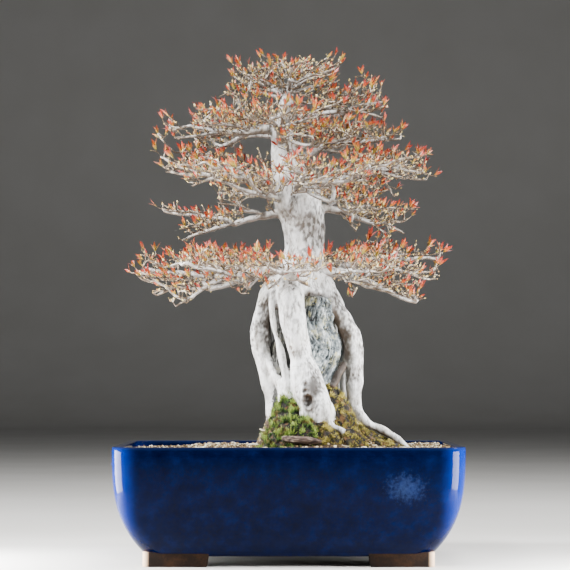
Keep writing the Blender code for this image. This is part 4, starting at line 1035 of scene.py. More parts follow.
runs = [wobbled(smooth_path(metres(TRUNK), ROOT_STEP), TRUNK_WOBBLE, 1),
        smooth_path(metres(TRUNK_FORK), ROOT_STEP)]
for number, rows in enumerate(ROOTS.values()):
    runs.append(wobbled(smooth_path(metres(rows), ROOT_STEP), ROOT_WOBBLE, number + 2))
for limbs in LIMBS.values():
    first = limb_rows(limbs[0])[:3]
    swell = [(*row[:3], row[3] * size) for row, size in zip(first, COLLAR)]
    runs.append(smooth_path(swell, COLLAR_STEP))
trunk = tubes("trunk_and_gripping_roots", runs, 5)
trunk.data.remesh_voxel_size = VOXEL
trunk.data.remesh_voxel_adaptivity = 0
bpy.ops.object.voxel_remesh()
relax = trunk.modifiers.new("Relax", "SMOOTH")
relax.factor = 0.5
relax.iterations = 7
settle(trunk)
print("trunk:", len(trunk.data.polygons), "faces")

# %% [markdown]
# The bark of such a tree is thin and smooth, drawn tight over swellings that run along the wood like
# muscles. They are pushed out along each point's normal by a pattern stretched upright. A few old
# cuts have healed into hollows with a rolled lip, and those are set one by one, where they are seen.
# The inner flanks of the roots, where they face into the hollows between them, are painted dark brown as
# painted shade, and here and there old bark has come off in flakes.

# %% Muscles, pores and healed cuts
# How far each pattern pushes the bark out, in mm.
MUSCLE, KNOB, PORE = 2.0, 1.4, 0.34
# Each healed cut: its place, its reach and its depth in mm.
HOLLOWS = {
    "limb_wound": ((-12, -22, 408), 6, 2.6),
    "root_wound": ((63, -17, 262), 8, 1.6),
    "scar_top": ((19, -62, 206), 3.0, 3.0),
    "scar_middle": ((19, -63, 199), 3.2, 3.6),
    "scar_foot": ((20, -64, 193), 3.2, 3.4),
    "scar_hole": ((23, -65, 187), 5.6, 6.0),
    "pit_upper": ((2, -52, 248), 3, 2.0),
    "pit_middle": ((6, -54, 243), 2.4, 1.8),
    "pit_lower": ((3, -54, 238), 2.4, 1.8),
}
# Each stain, and each patch of flakes: its place and its reach in mm, and how strongly it colours.
# The first nine stains, on the inner flanks of the right and the left root, are painted shade. The three
# along the cross root below the right root give it its own darker colour and also paint the shade of the
# right root's inner side. The others are real stains, on the scar and on flaking bark.
STAINS = (
    ((48, -14, 300), 11, 0.88), ((55, -15, 282), 13, 0.95), ((61, -15, 262), 14, 0.97),
    ((65, -14, 242), 12, 0.94), ((66, -14, 222), 10, 0.88), ((-22, -14, 278), 12, 0.975),
    ((-20, -14, 256), 13, 0.985), ((-16, -14, 236), 12, 0.98), ((-15, -14, 222), 10, 0.94),
    ((29, -62, 203), 11, 0.92), ((-6, -44, 250), 6, 0.15), ((63, -26, 230), 16, 0.985),
    ((57, -33, 214), 16, 0.985), ((51, -37, 200), 13, 0.98), ((14, -20, 414), 14, 0.16),
    ((28, -20, 360), 12, 0.14), ((24, -24, 398), 4, 0.4), ((31, -20, 386), 5, 0.36),
    ((21, -24, 374), 3, 0.35), ((32, -18, 368), 5, 0.3), ((30, -16, 404), 5, 0.4),
)
FLAKES = (
    ((30, -18, 396), 24, 0.86), ((22, -22, 366), 17, 0.76), ((66, -14, 268), 20, 0.82),
    ((28, -62, 206), 15, 0.86), ((6, -50, 290), 16, 0.50), ((-30, -18, 250), 14, 0.45),
    ((80, -12, 220), 15, 0.50), ((-6, -20, 318), 12, 0.60),
)

count = len(trunk.data.vertices)
flat = np.empty(count * 3, np.float32)
trunk.data.vertices.foreach_get("co", flat)
spots = flat.reshape(-1, 3).astype(float)
trunk.data.vertices.foreach_get("normal", flat)
normals = flat.reshape(-1, 3).astype(float)
push, ragged_edge, flake = np.empty(count), np.empty(count), np.empty(count)
for i, (x, y, z) in enumerate(spots):
    muscle = noise.noise(Vector((x * 95, y * 95, z * 22)))
    knob = noise.noise(Vector((x * 60 + 7, y * 60, z * 48)))
    pore = noise.noise(Vector((x * 420, y * 420, z * 260)))
    push[i] = MUSCLE * muscle + KNOB * knob + PORE * pore
    ragged_edge[i] = 1 + 0.9 * knob + 0.8 * pore
    flake[i] = smoothstep(0.0, 0.2, noise.noise(Vector((x * 300 + 3, y * 300, z * 130))))
wound = np.zeros(count)


def reaches_off(place, reach, height_share):
    """How many reaches off a place each point of the bark lies. Height counts only in part."""
    return np.linalg.norm((spots - np.array(place) * MM) * (1, 1, height_share), axis=1) / (reach * MM)


for place, reach, depth in HOLLOWS.values():
    away = reaches_off(place, reach, 0.75)
    push += -depth * np.exp(-(away * 1.25) ** 2) + 0.5 * depth * np.exp(-((away - 1.15) * 3.2) ** 2)
    wound = np.maximum(wound, 0.85 * np.exp(-(away * 1.15 * ragged_edge) ** 4))
# Stains and flakes go into the scars' number. The stains on the roots' inner flanks are painted shade.
for marks, cover in ((STAINS, 1), (FLAKES, flake)):
    for place, reach, strength in marks:
        away = reaches_off(place, reach, 0.6)
        wound = np.maximum(wound, strength * cover * np.exp(-(away * ragged_edge) ** 4))
moved = spots + normals * push[:, None] * MM
trunk.data.vertices.foreach_set("co", moved.astype(np.float32).ravel())
write_numbers(trunk.data, "wound", wound)
write_numbers(trunk.data, "girth", np.ones(count))
only(trunk)
bpy.ops.object.shade_smooth()
print("hollows:", len(HOLLOWS), "deepest point", round(float(push.min()), 2), "mm")

# %% [markdown]
# The bark has bleached to nearly white, greyer where it stays damp, with beige where the thin outer
# skin has flaked. Fine cracks run along it. Where wood was cut long ago it shows brown, and the same
# brown is painted on the roots' inner flanks as painted shade. On twigs, the bark is younger and still
# tan, so one number on every point, the girth, leads from tan to white. What faces down is painted
# brown as painted shade, the more so the more it faces the floor.

# %% Bark finish
bark, tree, place = new_material("bleached_smooth_bark", 0.74)
upright = add_node(tree, "Mapping", {"Scale": (1.0, 1.0, 0.34), "Vector": place})
streak = add_node(tree, "TexNoise", {"Scale": 150.0, "Detail": 8.0, "Roughness": 0.68, "Vector": upright[0]})
blotch = add_node(tree, "TexNoise", {"Scale": 38.0, "Detail": 4.0, "Vector": place})
old = add_node(tree, "ValToRGB", {"Fac": streak[0], "stops": ((0.33, "#54514B"), (0.42, "#ABABA9"),
                                                             (0.50, "#EDEEEE"), (0.62, "#FDFEFF"))})
flaked = add_node(tree, "MapRange", {"From Min": 0.52, "From Max": 0.70, "To Max": 0.55, "Value": blotch[0]})
aged = add_node(tree, "Mix", {"data_type": "RGBA", 0: flaked[0], 6: old[0], 7: "#E2DED4"})
young = add_node(tree, "ValToRGB", {"Fac": streak[0], "stops": ((0.41, "#22170F"), (0.49, "#705B44"),
                                                               (0.57, "#D6CCB8"), (0.67, "#FBF8F2"))})
girth = add_node(tree, "Attribute", {"attribute_name": "girth"})
by_age = add_node(tree, "Mix", {"data_type": "RGBA", 0: girth["Fac"], 6: young[0], 7: aged[2]})
crack = add_node(tree, "TexVoronoi", {"feature": "DISTANCE_TO_EDGE", "Scale": 62.0, "Vector": upright[0]})
line = add_node(tree, "MapRange", {"From Min": 0.0, "From Max": 0.022, "To Min": 0.42, "To Max": 0.0,
                                   "Value": crack["Distance"]})
lined = add_node(tree, "Mix", {"data_type": "RGBA", 0: line[0], 6: by_age[2], 7: "#8A8378"})
# The scars, flakes and stains turn brown here. On the roots' inner flanks, that brown is painted shade.
scar_and_shade_share = add_node(tree, "Attribute", {"attribute_name": "wound"})
scars_and_painted_shade = add_node(tree, "Mix", {"data_type": "RGBA", 0: scar_and_shade_share["Fac"], 6: lined[2], 7: "#2A1F15"})
# Painted shade: what faces down is darkened to brown, the more so the more it faces the floor.
facing = add_node(tree, "NewGeometry", {})
sky = add_node(tree, "SeparateXYZ", {"Vector": facing["Normal"]})
shaded = add_node(tree, "MapRange", {"From Min": 0.22, "From Max": -0.55, "To Max": 0.90, "Value": sky[2]})
painted_underside_shade = add_node(tree, "Mix", {"data_type": "RGBA", 0: shaded[0], 6: scars_and_painted_shade[2], 7: "#4A3826"})
skin = add_node(tree, "Bump", {"Strength": 0.8, "Distance": 0.0014, "Height": streak[0]})
wire(tree, painted_underside_shade[2], skin[0])
dress(trunk, ["trunk_and_roots"], [bark])

# %% [markdown]
# ## The branches
# A tree's crown fills its space in a simple way: every shoot is fed along the cheapest way back to the
# wood that is already there. The code below grows each branch like that. It first draws where shoots
# shall end, in flat domed clouds about each limb, then joins them to the nearest wood, cheapest first.

# %% Where shoots end
LEAF_LENGTH, LEAF_SPREAD = 0.0095, 0.0038
TWIG_TIP = 0.00075
TWIG_STEP = 0.011
TWIG_WANDER, TWIG_SAG = 0.07, 0.13
LIMB_END, CLOUD_END = 0.999, 1.05
CLEARANCE = 0.0016
LINE_STEP = 0.003
SHOOT_ROOM = 0.0045
CANOPY_REACH = Vector((0.188, 0.138, 0.598))


class Crowd:
    """The places that are taken, in one growing array, so that a new place is compared with all at once."""

    def __init__(self):
        self.places = np.full((9000, 3), 9.0)
        self.count = 0

    def add(self, point):
        self.places[self.count] = point
        self.count += 1

    def nearest(self, point):
        return float(np.sqrt(np.min(np.sum((self.places[:self.count + 1] - point) ** 2, axis=1))))


def foliage_points(limb, draw, spacing, taken, tries=900):
    """Where shoots end about a limb: spread to both sides, domed, and most of them near the top."""
    _, _, _, start, spread, rise = limb
    rows = limb_rows(limb)
    found = []
    for _ in range(tries):
        share = start + (CLOUD_END - start) * draw.random()
        spot = min(share, LIMB_END) * (len(rows) - 1)
        i = int(spot)
        here, there = np.array(rows[i][:3]), np.array(rows[i + 1][:3])
        ahead = there - here
        length = np.linalg.norm(ahead)
        aside = np.array((ahead[1], -ahead[0], 0)) / max(np.hypot(ahead[0], ahead[1]), 1e-6)
        part = (share - start) / (CLOUD_END - start)
        width = spread * MM * (0.45 + 0.75 * math.sin(math.pi * min(0.12 + 0.78 * part, 1)))
        offset = 2 * draw.random() - 1
        lift = draw.random() ** 0.6
        point = here + ahead * (spot - i) + ahead / length * max(share - LIMB_END, 0) * 0.12
        point = point + aside * offset * width
        point[2] += rise * MM * (0.12 + 0.88 * lift) * (1 - 0.55 * offset * offset)
        if np.any(np.abs(point) > CANOPY_REACH):
            continue
        if taken.nearest(point) < spacing:
            continue
        taken.add(point)
        found.append(point)
    return found


# %% How a branch grows
class Spray:
    """The woody frame of one branch: points that each know the one they grew from."""

    def __init__(self, limbs):
        self.points, self.parents, self.radii, self.own_radii, self.shoots = [], [], [], [], {}
        self.add_limbs(limbs)
        self.limb_count = len(self.points)

    def add_limbs(self, limbs):
        """Limbs that each grow from the nearest wood that is there already."""
        for limb in limbs:
            rows = limb_rows(limb)
            parent = -1
            if self.points:
                parent = self.nearest(rows[0][:3])
                rows = rows[1:]
            for row in rows:
                self.add(np.array(row[:3]), parent, row[3])
                parent = len(self.points) - 1

    def add(self, point, parent, radius=0.0):
        self.points.append(point)
        self.parents.append(parent)
        self.radii.append(radius)
        self.own_radii.append(radius)

    def nearest(self, point):
        return int(np.argmin([np.sum((p - point) ** 2) for p in self.points]))

    def heading(self, index):
        parent = self.parents[index]
        if parent < 0:
            return np.zeros(3)
        ahead = self.points[index] - self.points[parent]
        return ahead / max(np.linalg.norm(ahead), 1e-9)

    turning = 0.55

    def price(self, index, goals):
        """What it costs to reach each goal from a point: the way there, more where it turns back."""
        ways = goals - self.points[index]
        lengths = np.maximum(np.linalg.norm(ways, axis=1), 1e-6)
        forward = ways @ self.heading(index) / lengths
        falling = np.maximum(-ways[:, 2], 0)
        return lengths * (1 + self.turning - self.turning * forward) + 0.9 * falling

    def grow_to(self, goals, draw, blocked):
        """Twigs to the goals, the cheapest first. One that would come near another branch is left out."""
        goals = np.array(goals)
        best = np.full(len(goals), np.inf)
        start = np.zeros(len(goals), int)
        pending = np.ones(len(goals), bool)

        def offer(index):
            prices = self.price(index, goals)
            better = prices < best
            best[better] = prices[better]
            start[better] = index

        for index in range(1, len(self.points)):
            offer(index)
        while pending.any():
            goal = int(np.argmin(np.where(pending, best, np.inf)))
            pending[goal] = False
            way = self.twig(start[goal], goals[goal], draw)
            if blocked(way):
                continue
            parent = int(start[goal])
            for point in way[1:-1]:
                self.add(point, parent)
                parent = len(self.points) - 1
                offer(parent)
            self.shoots[parent] = way[-1] - way[-2]

    def twig(self, start, goal, draw):
        """A crooked way from a point to a goal, and the tip of the shoot that opens there."""
        base = self.points[start]
        length = float(np.linalg.norm(goal - base))
        count = max(1, round(length / TWIG_STEP))
        way = [base]
        for k in range(1, count):
            share = k / count
            wander = np.array([draw.uniform(-1, 1) for _ in range(3)]) * length * TWIG_WANDER
            dip = np.array((0, 0, -TWIG_SAG * length * math.sin(math.pi * share)))
            way.append(base + (goal - base) * share + wander + dip)
        way.append(goal)
        ahead = goal - way[-2]
        ahead = ahead / max(np.linalg.norm(ahead), 1e-9)
        outward = np.array((goal[0], goal[1], 0)) / max(np.hypot(goal[0], goal[1]), 1e-6)
        aim = 0.5 * ahead + np.array((0, 0, 0.75)) + 0.3 * outward
        aim += np.array([draw.uniform(-0.25, 0.25) for _ in range(3)])
        way.append(goal + aim / np.linalg.norm(aim) * LEAF_LENGTH)
        return way

    def thicken(self, tip):
        """Gives each twig the radius that the shoots it carries need."""
        carried = [0] * len(self.points)
        for index in self.shoots:
            while index >= 0:
                carried[index] += 1
                index = self.parents[index]
        for index, shoots in enumerate(carried):
            self.radii[index] = max(self.own_radii[index], tip * max(shoots, 1) ** 0.4)

    def chains(self, tip):
        """The frame as unbranched runs of rows, each from inside what carries it to its last point."""
        self.thicken(tip)
        children = [[] for _ in self.points]
        for index, parent in enumerate(self.parents):
            if parent >= 0:
                children[parent].append(index)
        waiting, found = [(0, -1)], []
        while waiting:
            index, parent = waiting.pop()
            row = []
            if parent >= 0:
                row.append((*self.points[parent], self.radii[index] * 0.45))
            while True:
                row.append((*self.points[index], self.radii[index]))
                if not children[index]:
                    break
                after = sorted(children[index],
                               key=lambda child: (self.radii[child], child < self.limb_count))
                waiting += [(child, index) for child in after[:-1]]
                index = after[-1]
            found.append(row)
        return found


def along(points):
    """Points closely spaced on the straight runs between these."""
    spread = []
    for a, b in zip(points, points[1:]):
        steps = max(1, math.ceil(np.linalg.norm(b - a) / LINE_STEP))
        spread += [a + (b - a) * k / steps for k in range(steps)]
    return np.array(spread + [points[-1]])


def wood_points(rows):
    """The middle line of a body with its radius, closely spaced."""
    return along([np.array(row, float) for row in rows])


# %% [markdown]
# The main shoots come first, one every 26 mm, with air left between one branch and the next. That is
# the form that the solids have. Their numbers are drawn from the same seed, so the twigs run the same
# way here.

# %% Grow the main shoots
SHOOT_SPACING = 0.0262


def grow_canopy():
    """All sprays. Their foliage points are drawn first, so that no branch takes the place of another."""
    draw = random.Random(11)
    taken = Crowd()
    goals = {}
    for name, limbs in LIMBS.items():
        goals[name] = []
        for limb in limbs:
            goals[name] += foliage_points(limb, draw, SHOOT_SPACING, taken)
    sprays = {name: Spray(limbs) for name, limbs in LIMBS.items()}
    solid = [wood_points(metres(rows)) for rows in (TRUNK, TRUNK_FORK, *ROOTS.values())]
    crowded = {name: [wood_points(limb_rows(limb)) for limb in limbs] for name, limbs in LIMBS.items()}
    for name in LIMBS:
        for x, y, z in goals[name]:
            top = z + LEAF_LENGTH * 0.7
            crowded[name].append(np.array([(x, y, z, SHOOT_ROOM), (x, y, top, SHOOT_ROOM)]))
    for name, spray in sprays.items():
        others = solid + [rows for other in LIMBS if other != name for rows in crowded[other]]
        others = np.concatenate(others)

        def blocked(way, others=others):
            line = along(way)[1:]
            room = others[:, 3] + CLEARANCE + TWIG_TIP
            near = np.sum((line[:, None, :] - others[None, :, :3]) ** 2, axis=2) < room ** 2
            return bool(near.any())

        if goals[name]:
            spray.grow_to(goals[name], draw, blocked)
        crowded[name] = [wood_points(row) for row in spray.chains(TWIG_TIP)]
        for index, aim in spray.shoots.items():
            tip = spray.points[index] + aim
            crowded[name].append(wood_points([(*spray.points[index], LEAF_SPREAD), (*tip, LEAF_SPREAD)]))
    return sprays, taken, np.concatenate(solid)


sprays, taken, solid_wood = grow_canopy()
print("main shoots:", sum(len(spray.shoots) for spray in sprays.values()))

# %% [markdown]
# Between the main shoots the real tree has many more, twigs pinched back year after year. They are
# drawn in the same clouds at a third of the spacing and grow from the same frames. Small side limbs,
# too fine for the solids, fill the clouds' undersides and the gaps that the photograph doesn't show.

# %% Side limbs that fill the clouds
# The same kind of rows as in LIMBS. They grow from the branch's own limbs.
FILLERS = {
    "crown": (
        (((-1, -1, 548), (-28, -6, 554), (-62, -8, 560)), 3, 1, 0.15, 26, 24),
        (((0, -2, 554), (28, -14, 560), (56, -16, 566)), 3, 1, 0.15, 26, 26),
        (((-1, 0, 550), (-22, 22, 556), (-40, 38, 560)), 3, 1, 0.2, 24, 22),
    ),
    "branch_high_right": (
        (((60, -6, 532), (88, -12, 540), (112, -14, 543)), 2.6, 1, 0.1, 24, 26),
        (((14, 0, 526), (34, -18, 532), (52, -26, 538)), 2.6, 1, 0.1, 22, 22),
    ),
    "branch_high_left": (
        (((-40, -6, 508), (-58, -26, 504), (-78, -40, 503)), 2.2, 1, 0.1, 22, 14),
        (((-80, -8, 508), (-110, -16, 502), (-136, -14, 500)), 2.6, 1, 0.1, 20, 14),
        (((-30, 0, 512), (-50, -10, 528), (-72, -12, 538)), 3, 1, 0.1, 26, 24),
    ),
    "branch_high_front": (
        (((-10, -22, 502), (10, -44, 490), (34, -56, 484)), 2.8, 1, 0.15, 24, 22),
    ),
    "branch_front_left": (
        (((-4, -14, 428), (4, -32, 432), (20, -44, 432)), 2.4, 1, 0.25, 20, 14),
        (((-12, -18, 428), (-22, -34, 440), (-26, -46, 448)), 2.4, 1, 0.25, 16, 12),
    ),
    "branch_low_front": (
        (((0, -26, 340), (-14, -40, 326), (-24, -50, 318)), 2.4, 1, 0.1, 20, 14),
        (((4, -30, 340), (14, -46, 326), (24, -54, 321)), 2.4, 1, 0.1, 20, 14),
    ),
    "branch_front": (
        (((0, -10, 470), (9, -32, 482), (15, -48, 492)), 2.4, 1, 0.2, 18, 18),
        (((12, -30, 442), (28, -58, 436), (46, -80, 434)), 2.8, 1, 0.15, 24, 20),
        (((13, -24, 441), (38, -36, 426), (58, -50, 420)), 2.6, 1, 0.2, 20, 15),
    ),
    "branch_upper_left": (
        (((-92, -10, 455), (-122, -14, 456), (-146, -12, 460)), 2.6, 1, 0.1, 18, 10),
        (((-16, 0, 443), (-26, -8, 456), (-30, -12, 470)), 2.4, 1, 0.3, 16, 12),
    ),
    "branch_shoulder_right": (
        (((38, 8, 490), (60, -6, 484), (86, -8, 482)), 2.4, 1, 0.2, 18, 13),
    ),
    "branch_mid_left": (
        (((-30, -4, 408), (-56, -14, 418), (-84, -16, 422)), 2.8, 1, 0.2, 18, 18),
        (((-14, -4, 410), (-20, -16, 416), (-26, -24, 417)), 2.2, 1, 0.2, 12, 9),
    ),
    "branch_upper_right": (
        (((104, -5, 462), (138, -12, 452), (164, -10, 451)), 2.6, 1, 0.1, 18, 11),
        (((112, -6, 462), (118, -12, 444), (126, -12, 430)), 2.4, 1, 0.2, 16, 13),
    ),
    "branch_mid_right": (
        (((60, 10, 427), (94, 4, 434), (116, -4, 438)), 2.6, 1, 0.1, 22, 13),
        (((100, -8, 400), (112, -14, 388), (116, -12, 380)), 2.4, 1, 0.2, 18, 14),
        (((62, -4, 413), (74, -14, 400), (80, -18, 388)), 2, 1, 0.4, 9, 7),
        (((116, -9, 400), (128, -10, 391), (138, -10, 386)), 2.2, 1, 0.2, 14, 10),
    ),
    "branch_low_left": (
        (((-46, -20, 336), (-80, -30, 322), (-116, -32, 320), (-150, -26, 324), (-174, -20, 331)),
         3.4, 1, 0.05, 28, 12),
        (((-24, -14, 342), (-44, -36, 328), (-66, -48, 320)), 2.8, 1, 0.1, 22, 14),
        (((-34, -30, 330), (-48, -36, 320), (-52, -38, 313)), 2, 1, 0.5, 9, 6),
        (((-132, -30, 322), (-146, -28, 316), (-156, -26, 312)), 2, 1, 0.2, 12, 8),
    ),
    "branch_low_right": (
        (((104, 8, 357), (140, -8, 340), (172, -8, 341)), 2.8, 1, 0.1, 24, 12),
        (((62, -10, 338), (92, -26, 322), (118, -26, 316)), 2.8, 1, 0.15, 24, 10),
        (((70, -18, 330), (80, -22, 318), (76, -24, 312)), 2, 1, 0.5, 9, 6),
        (((60, -12, 336), (68, -24, 328), (80, -30, 326)), 2, 1, 0.1, 16, 10),
        (((104, -18, 324), (122, -26, 324), (142, -28, 324)), 2.2, 1, 0.1, 16, 12),
        (((140, -8, 340), (156, -10, 334), (168, -10, 331)), 2.2, 1, 0.2, 14, 9),
    ),
}

for name, limbs in FILLERS.items():
    sprays[name].add_limbs(limbs)
print("side limbs:", sum(len(limbs) for limbs in FILLERS.values()))

# %% Fill the clouds with fine twigs
FINE_SPACING = 0.0092
FINE_TRIES = 1100
FINE_TIP = 0.00064
FINE_RISE = 1.35
OFF_WOOD = 0.004
# Left, right, bottom and top of each gap between the clouds in mm, seen from the front.
GAPS = ((-150, -115, 524, 560), (-180, -118, 364, 385), (140, 200, 366, 400), (-160, -128, 484, 498),
        (-104, -74, 545, 575), (98, 118, 566, 590), (-160, -126, 427, 446), (-22, 34, 352, 380),
        (34, 68, 468, 486), (-74, -60, 530, 546), (-134, -114, 488, 526), (14, 29, 525, 542),
        (-102, -87, 417, 454), (-58, -44, 430, 455), (-150, -60, 365, 390), (158, 172, 342, 356),
        (71, 88, 568, 592), (113, 132, 551, 573), (114, 146, 512, 530), (128, 144, 370, 385),
        (-160, -87, 418, 441), (-114, -88, 537, 556), (56, 72, 558, 572), (-160, -128, 477, 498),
        (112, 126, 432, 450), (128, 143, 392, 408), (-190, -172, 350, 385), (-158, -144, 352, 385),
        (58, 70, 342, 352), (142, 156, 362, 400), (-74, -56, 590, 608), (54, 72, 570, 586),
        (-104, -84, 536, 556), (-160, -144, 527, 541), (-50, -29, 412, 430), (-60, -42, 366, 386),
        (-88, -70, 310, 326))

fine = random.Random(29)
for name, limbs in LIMBS.items():
    extra = []
    for limb in (*FILLERS.get(name, ()), *limbs):
        taller = (*limb[:5], limb[5] * FINE_RISE)
        extra += foliage_points(taller, fine, FINE_SPACING, taken, FINE_TRIES)
    clear = []
    for point in extra:
        off_wood = np.linalg.norm(solid_wood[:, :3] - point, axis=1) > solid_wood[:, 3] + OFF_WOOD
        x, _, z = point / MM
        in_gap = any(left < x < right and low < z < high for left, right, low, high in GAPS)
        if off_wood.all() and not in_gap:
            clear.append(point)
    sprays[name].turning = 1.5
    sprays[name].grow_to(clear, fine, lambda way: False)
print("all shoots:", sum(len(spray.shoots) for spray in sprays.values()))

# %% [markdown]
# A shoot that has just opened looks like a small tulip: three to six narrow leaves, still folded and
# upright, on a stem of a few millimetres. The leaf is a ball of four sides and three rings, drawn out
# long and pressed flat. Buds that haven't opened yet are eight-faced and cream.

# %% Model a leaf and a bud
bpy.ops.mesh.primitive_uv_sphere_add(segments=4, ring_count=3, radius=1)
leaf = added("leaf")
# For each ring of the ball: the height, half width, half thickness and bow that it gets in the leaf.
LEAF_RINGS = {-1.0: (0, 0, 0, 0), -0.5: (0.30, 0.118, 0.030, 0.015), 0.5: (0.62, 0.124, 0.022, 0.0),
              1.0: (1, 0, 0, -0.10)}
for vert in leaf.data.vertices:
    height, wide, thick, bow = LEAF_RINGS[round(vert.co.z * 2) / 2]
    flat_way = Vector((vert.co.x, vert.co.y)).normalized() if wide else Vector((0, 0))
    vert.co = (flat_way.x * wide, flat_way.y * thick + bow, height)

bpy.ops.mesh.primitive_uv_sphere_add(segments=4, ring_count=2, radius=1)
bud = added("bud")
bud.scale = (0.34, 0.34, 0.5)
bud.location = (0, 0, 0.5)
bpy.ops.object.transform_apply(location=True, scale=True)
print("leaf:", len(leaf.data.polygons), "faces, bud:", len(bud.data.polygons), "faces")

# %% [markdown]
# Young leaves of this tree open yellow green at the foot and burn to orange, salmon and crimson at the
# tip, because their green isn't built up yet. The ramp runs along the leaf, and each leaf starts from
# its own place on it. Buds take the palest end.

# %% Leaf and bud finishes
young_leaf, tree, place = new_material("young_waxy_leaf", 0.42, Sheen_Weight=0.15)
tip = add_node(tree, "Attribute", {"attribute_name": "tip"})
shade = add_node(tree, "Attribute", {"attribute_name": "shade"})
part = add_node(tree, "Math", {"operation": "MULTIPLY", 0: tip["Fac"], 1: 0.52})
both = add_node(tree, "Math", {"operation": "MULTIPLY_ADD", 0: shade["Fac"], 1: 0.46, 2: part[0]})
ripe = add_node(tree, "ValToRGB", {"Fac": both[0], "stops": (
    (0.10, "#6A7424"), (0.32, "#A48424"), (0.49, "#AC500E"), (0.68, "#9C240A"), (0.92, "#6E0E14"))})
wire(tree, ripe[0])

cream_bud, tree, place = new_material("closed_bud_scale", 0.6)
shade = add_node(tree, "Attribute", {"attribute_name": "shade"})
pale = add_node(tree, "ValToRGB", {"Fac": shade["Fac"], "stops": ((0.0, "#D9C79A"), (0.5, "#C8B26A"),
                                                                 (1.0, "#B98A5A"))})
wire(tree, pale[0])
print("leaf and bud finishes ready")

# %% [markdown]
# A twig is never straight: at every node it kinks and swells. The kink is read from one pattern in
# space, so a twig and the one that it grows from bend alike and stay joined. The pattern has a seed,
# since without one it would start from the clock and differ from run to run. Short spurs with a closed
# bud stand on the older parts. They are what makes the inside of such a crown look like lace.

# %% Helpers for twigs
KINK, KINK_SEED = 0.0011, 8
noise.seed_set(KINK_SEED)
THICK_TWIG = 0.0018
THICK_STEP, THIN_STEP = 0.0045, 0.0055
YOUNG_RADIUS, OLD_RADIUS = 0.0007, 0.0030


def kinked(point):
    """Where a point of a twig lies after its kink."""
    spot = Vector(point[:3])
    return spot + noise.noise_vector(spot * 130) * KINK


def knotty(rows):
    """A twig's rows with kinks, and with a swelling at each node. Old limbs run smoothly, twigs don't."""
    if max(row[3] for row in rows) > THICK_TWIG:
        path = smooth_path(rows, THICK_STEP)
    else:
        path = [np.array(rows[0], float)]
        for a, b in zip(rows, rows[1:]):
            a, b = np.array(a, float), np.array(b, float)
            steps = max(1, round(float(np.linalg.norm((b - a)[:3])) / THIN_STEP))
            path += [a + (b - a) * k / steps for k in range(1, steps + 1)]
    return [(*kinked(row), row[3] * (1 + 0.25 * noise.noise(Vector(row[:3]) * 320))) for row in path]


def girths(piece, runs):
    """Writes on each point how thick the wood is there, from 0 on twigs to 1 on old limbs."""
    rows = [row for run in runs for row in run]
    tree_of_rows = KDTree(len(rows))
    for i, row in enumerate(rows):
        tree_of_rows.insert(row[:3], i)
    tree_of_rows.balance()
    nearest = [rows[tree_of_rows.find(vert.co)[1]][3] for vert in piece.data.vertices]
    write_numbers(piece.data, "girth", [smoothstep(YOUNG_RADIUS, OLD_RADIUS, radius) for radius in nearest])
    return piece


# %% Build every branch
SHADE_REACH, SHADE_RISE = 0.015, 0.005
SPUR_LENGTH, STEM_LENGTH = (0.003, 0.0075), (0.0008, 0.0026)
LEAF_SIZE, SHADED_SIZE = (0.0105, 0.0158), 0.8
BUD_SIZE, SPUR_BUD_SIZE = (0.0026, 0.0042), (0.0014, 0.0024)
OPEN_SHARE, SHADED_OPEN_SHARE = 0.56, 0.22
BARE_RADIUS, BARE_SHARE = 0.0065, 0.35
leaf_draw = random.Random(3)


def opened_shoot(foot, aim, size):
    """Spots for the leaves of one shoot, and the little stem that they stand on."""
    aim = Vector(aim).normalized()
    stem = foot + aim * leaf_draw.uniform(*STEM_LENGTH)
    hue = leaf_draw.random()
    number = leaf_draw.choice((2, 3, 3, 4, 4))
    start = leaf_draw.uniform(0, math.tau)
    found = []
    for k in range(number):
        side = start + math.tau * k / number + leaf_draw.uniform(-0.3, 0.3)
        lean = leaf_draw.uniform(0.14, 0.66) if k else leaf_draw.uniform(0, 0.2)
        length = size * leaf_draw.uniform(0.70, 1.10)
        turn = turned(aim, leaf_draw.uniform(-0.3, 0.3), lean, side) * length
        found.append((stem, turn, 0.75 * hue + 0.25 * leaf_draw.random()))
    return found, (*stem, 0.00034)


